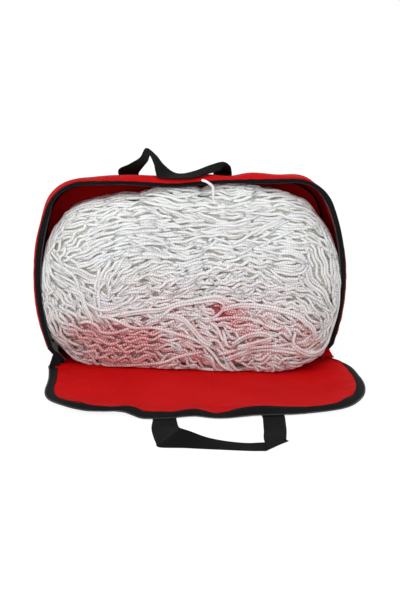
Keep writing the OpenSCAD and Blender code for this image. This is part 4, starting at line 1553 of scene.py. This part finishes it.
# %% Fill the bag
def blurred(h, cells):
    kernel = hann(cells)
    for axis in (0, 1):
        h = np.apply_along_axis(
            lambda m: np.convolve(np.pad(m, cells, mode="edge"), kernel, "valid"), axis, h)
    return h


def place_cords(layer, back=False):
    """Puts the laid cords in space. The slow swell of the heap is taken off, so
    that the bundle keeps its own form, and what lies buried is left out."""
    cords, heap = [], layer.heap
    near, wide = blurred(heap.h, 6), blurred(heap.h, 22)
    for cord, z, radius in layer.laid:
        i, j = heap.cell(cord[:, 0], cord[:, 1])
        seen = heap.h[i, j] < z + 2.4 * radius
        if seen.sum() < 2:
            continue
        low = np.clip((near[i, j] - z) / 7.0, 0, 1)
        high = np.clip((z - wide[i, j]) * RELIEF, -12.0, 6.0)
        place = net_point(cord[:, 0], cord[:, 1], high, back)
        cords.append((place, low, redness(place, 0.35 + 0.65 * low), radius * 1.14))
    return cords


FRONT_FOLDS, BACK_FOLDS = 2000, 260
front = Layer(seed=5, face_limit=1.34)
for _ in range(FRONT_FOLDS):
    front.fold()
for k, path in enumerate(TOP_CORDS):
    path = np.array(path, float) - NET_MID
    shares = np.linspace(0, 1, int(gaps(path).sum() / 4) + 2)
    line = even(curve_through(path, np.linspace(0, 1, 60)), shares)
    for twin in range(1 + k % 2):
        front.lay_cord(line + twin * np.array([1.6, 4.4]), CORD_R, 0.5)
front_cords = place_cords(front)
print("front cords", len(front.laid), "shown", len(front_cords))

# %% The net's pieces
# Five pieces from left to right, so that none has too many triangles
middle_x = np.array([cord[0][:, 0].mean() for cord in front_cords])
net_pieces = [
    cord_piece("net_front_%d" % (k + 1), [front_cords[n] for n in chosen], 6)
    for k, chosen in enumerate(np.array_split(np.argsort(middle_x), 5))]

back_side = Layer(seed=9, face_limit=1.28)
for _ in range(BACK_FOLDS):
    back_side.fold(spread=1.1)
net_pieces.append(cord_piece("net_back", place_cords(back_side, back=True), 5))

# %% [markdown]
# ## The heap's inside
# A real heap is cord all through. Only its outside is modelled, so a closed lumpy
# body lies just under it, in the colour that the deep cords have.

# %% The inside
def ball_shape():
    """Points, faces and UVs of a ball. The primitive lists its faces in another
    order each run, so they are sorted."""
    bpy.ops.object.select_all(action="DESELECT")
    bpy.ops.mesh.primitive_uv_sphere_add(segments=128, ring_count=96, radius=1.0)
    ball = bpy.context.object
    layer = ball.data.uv_layers.active.data
    faces = sorted((list(face.vertices), [tuple(layer[k].uv) for k in face.loop_indices])
                   for face in ball.data.polygons)
    co = points_of(ball.data)
    bpy.data.objects.remove(ball)
    return co, [face for face, _ in faces], np.concatenate([uv for _, uv in faces])


def net_core():
    """A closed lumpy body just under the cords, so that no gap shows through."""
    co, faces, uvs = ball_shape()
    down = np.arccos(np.clip(co[:, 2], -1, 1))
    around = np.arctan2(co[:, 1], co[:, 0])
    out = np.empty_like(co)
    for is_back in (False, True):
        mask = (down > math.pi / 2) == is_back
        share = np.where(is_back, math.pi - down[mask], down[mask]) / (math.pi / 2)
        edge = reach(np.degrees(around[mask]))
        r = share * 1.30
        p, q = np.cos(around[mask]) * r * edge, np.sin(around[mask]) * r * edge
        out[mask] = net_point(p, q, np.full(p.shape, BURIED), is_back)
    out[np.abs(down - math.pi / 2) < 1e-4, 1] = 12.0
    obj = piece_from("net_inside", out, np.concatenate(faces),
                     np.array([len(face) for face in faces]), NET_CORD, uvs)
    alone(obj)
    bpy.ops.object.mode_set(mode="EDIT")
    bpy.ops.mesh.select_all(action="SELECT")
    bpy.ops.mesh.normals_make_consistent(inside=False)
    bpy.ops.object.mode_set(mode="OBJECT")
    bpy.ops.object.shade_smooth()
    deep = np.ones(len(out))
    paint(obj.data, low=deep, red=redness(out, deep))
    return obj


net_pieces.append(net_core())
for piece in net_pieces:
    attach(piece, "net")
    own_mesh(piece)
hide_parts("net_bundle", "net_spill")

# %% [markdown]
# ## The loose cord end
# One end of the net's cord hangs out over the zip tape. It is a free cord, so its
# length and its exit are worked out. It is round, since nothing presses it.

# %% The loose cord end
LOOSE = [[42, -56, 300.4], [42, -59, 314], [41.6, -60.4, 323], [41, -61, 329.5],
         [38, -62, 334], [33, -63, 338], [27, -63, 341.5], [20, -62, 343.5]]
loose_path = curve_through(LOOSE, np.linspace(0, 1, 50))
clean = np.zeros(len(loose_path))
loose = cord_piece("loose_cord_end", [(loose_path, clean, clean, 2.5)], 10, flatness=1.0)
settle(loose, "net", "net_cord", "loose_net_end")
loose_run = float(gaps(loose_path).sum())
tuple(loose_path[0] * MM)
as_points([tuple(p * MM) for p in loose_path[::3]] + [tuple(loose_path[-1] * MM)])

# %% [markdown]
# ## Floor and light
# A pale sweep of floor, an even sky and two big soft lamps, as in a small photo
# studio. The floor shows itself to the camera as nearly white and still keeps
# the object's shadow.

# %% Floor
WHITE, PALE = rgb(1, 1, 1), rgb(0.95, 0.95, 0.95)
FLOOR_GLOW, GLOW_SHARE = 1.08, 0.85


def pale_floor():
    bpy.ops.mesh.primitive_plane_add(size=14, location=(0, 0, 0))
    floor = bpy.context.object
    floor.name = "floor"
    f = Finish("pale_floor", roughness=0.8, Base_Color=PALE)
    seen = f.node("ShaderNodeLightPath", output="Is Camera Ray")
    glow = f.node("ShaderNodeEmission", None, {"Color": WHITE, "Strength": FLOOR_GLOW})
    lit = Value(f, f.shader.outputs[0])
    blend = f.node("ShaderNodeMixShader", None, {0: seen * GLOW_SHARE, 1: lit, 2: glow})
    f.feed(f.tree.nodes["Material Output"].inputs["Surface"], blend)
    floor.data.materials.append(f.material)


pale_floor()

# %% Sky and lamps
SKY = 0.69
LAMPS = (("key", (-0.8, -2.9, 1.35), 2.2, 42), ("top", (0.0, -0.9, 2.5), 1.8, 12))
LAMPS_AIM = Vector((0, -0.15, 0.15))


def even_sky():
    """White for the camera and for reflections, and a softer white as light."""
    world = bpy.data.worlds.new("studio") if not bpy.data.worlds else bpy.data.worlds[0]
    bpy.context.scene.world = world
    world.use_nodes = True
    nodes, link = world.node_tree.nodes, world.node_tree.links.new
    nodes.clear()
    path, either, pick, out = (nodes.new("ShaderNode" + kind) for kind in (
        "LightPath", "Math", "MixShader", "OutputWorld"))
    either.operation = "MAXIMUM"
    link(path.outputs["Is Camera Ray"], either.inputs[0])
    link(path.outputs["Is Glossy Ray"], either.inputs[1])
    link(either.outputs[0], pick.inputs[0])
    for k, strength in ((1, SKY), (2, 1.0)):
        background = nodes.new("ShaderNodeBackground")
        background.inputs["Color"].default_value = WHITE
        background.inputs["Strength"].default_value = strength
        link(background.outputs[0], pick.inputs[k])
    link(pick.outputs[0], out.inputs[0])


even_sky()
for name, place, size, watts in LAMPS:
    bpy.ops.object.light_add(type="AREA", location=place)
    lamp = bpy.context.object
    lamp.name, lamp.data.size, lamp.data.energy = name, size, watts
    lamp.rotation_euler = (LAMPS_AIM - Vector(place)).to_track_quat("-Z", "Y").to_euler()
    print("lamp", name, watts, "W")
bpy.context.scene.view_settings.view_transform = "Standard"
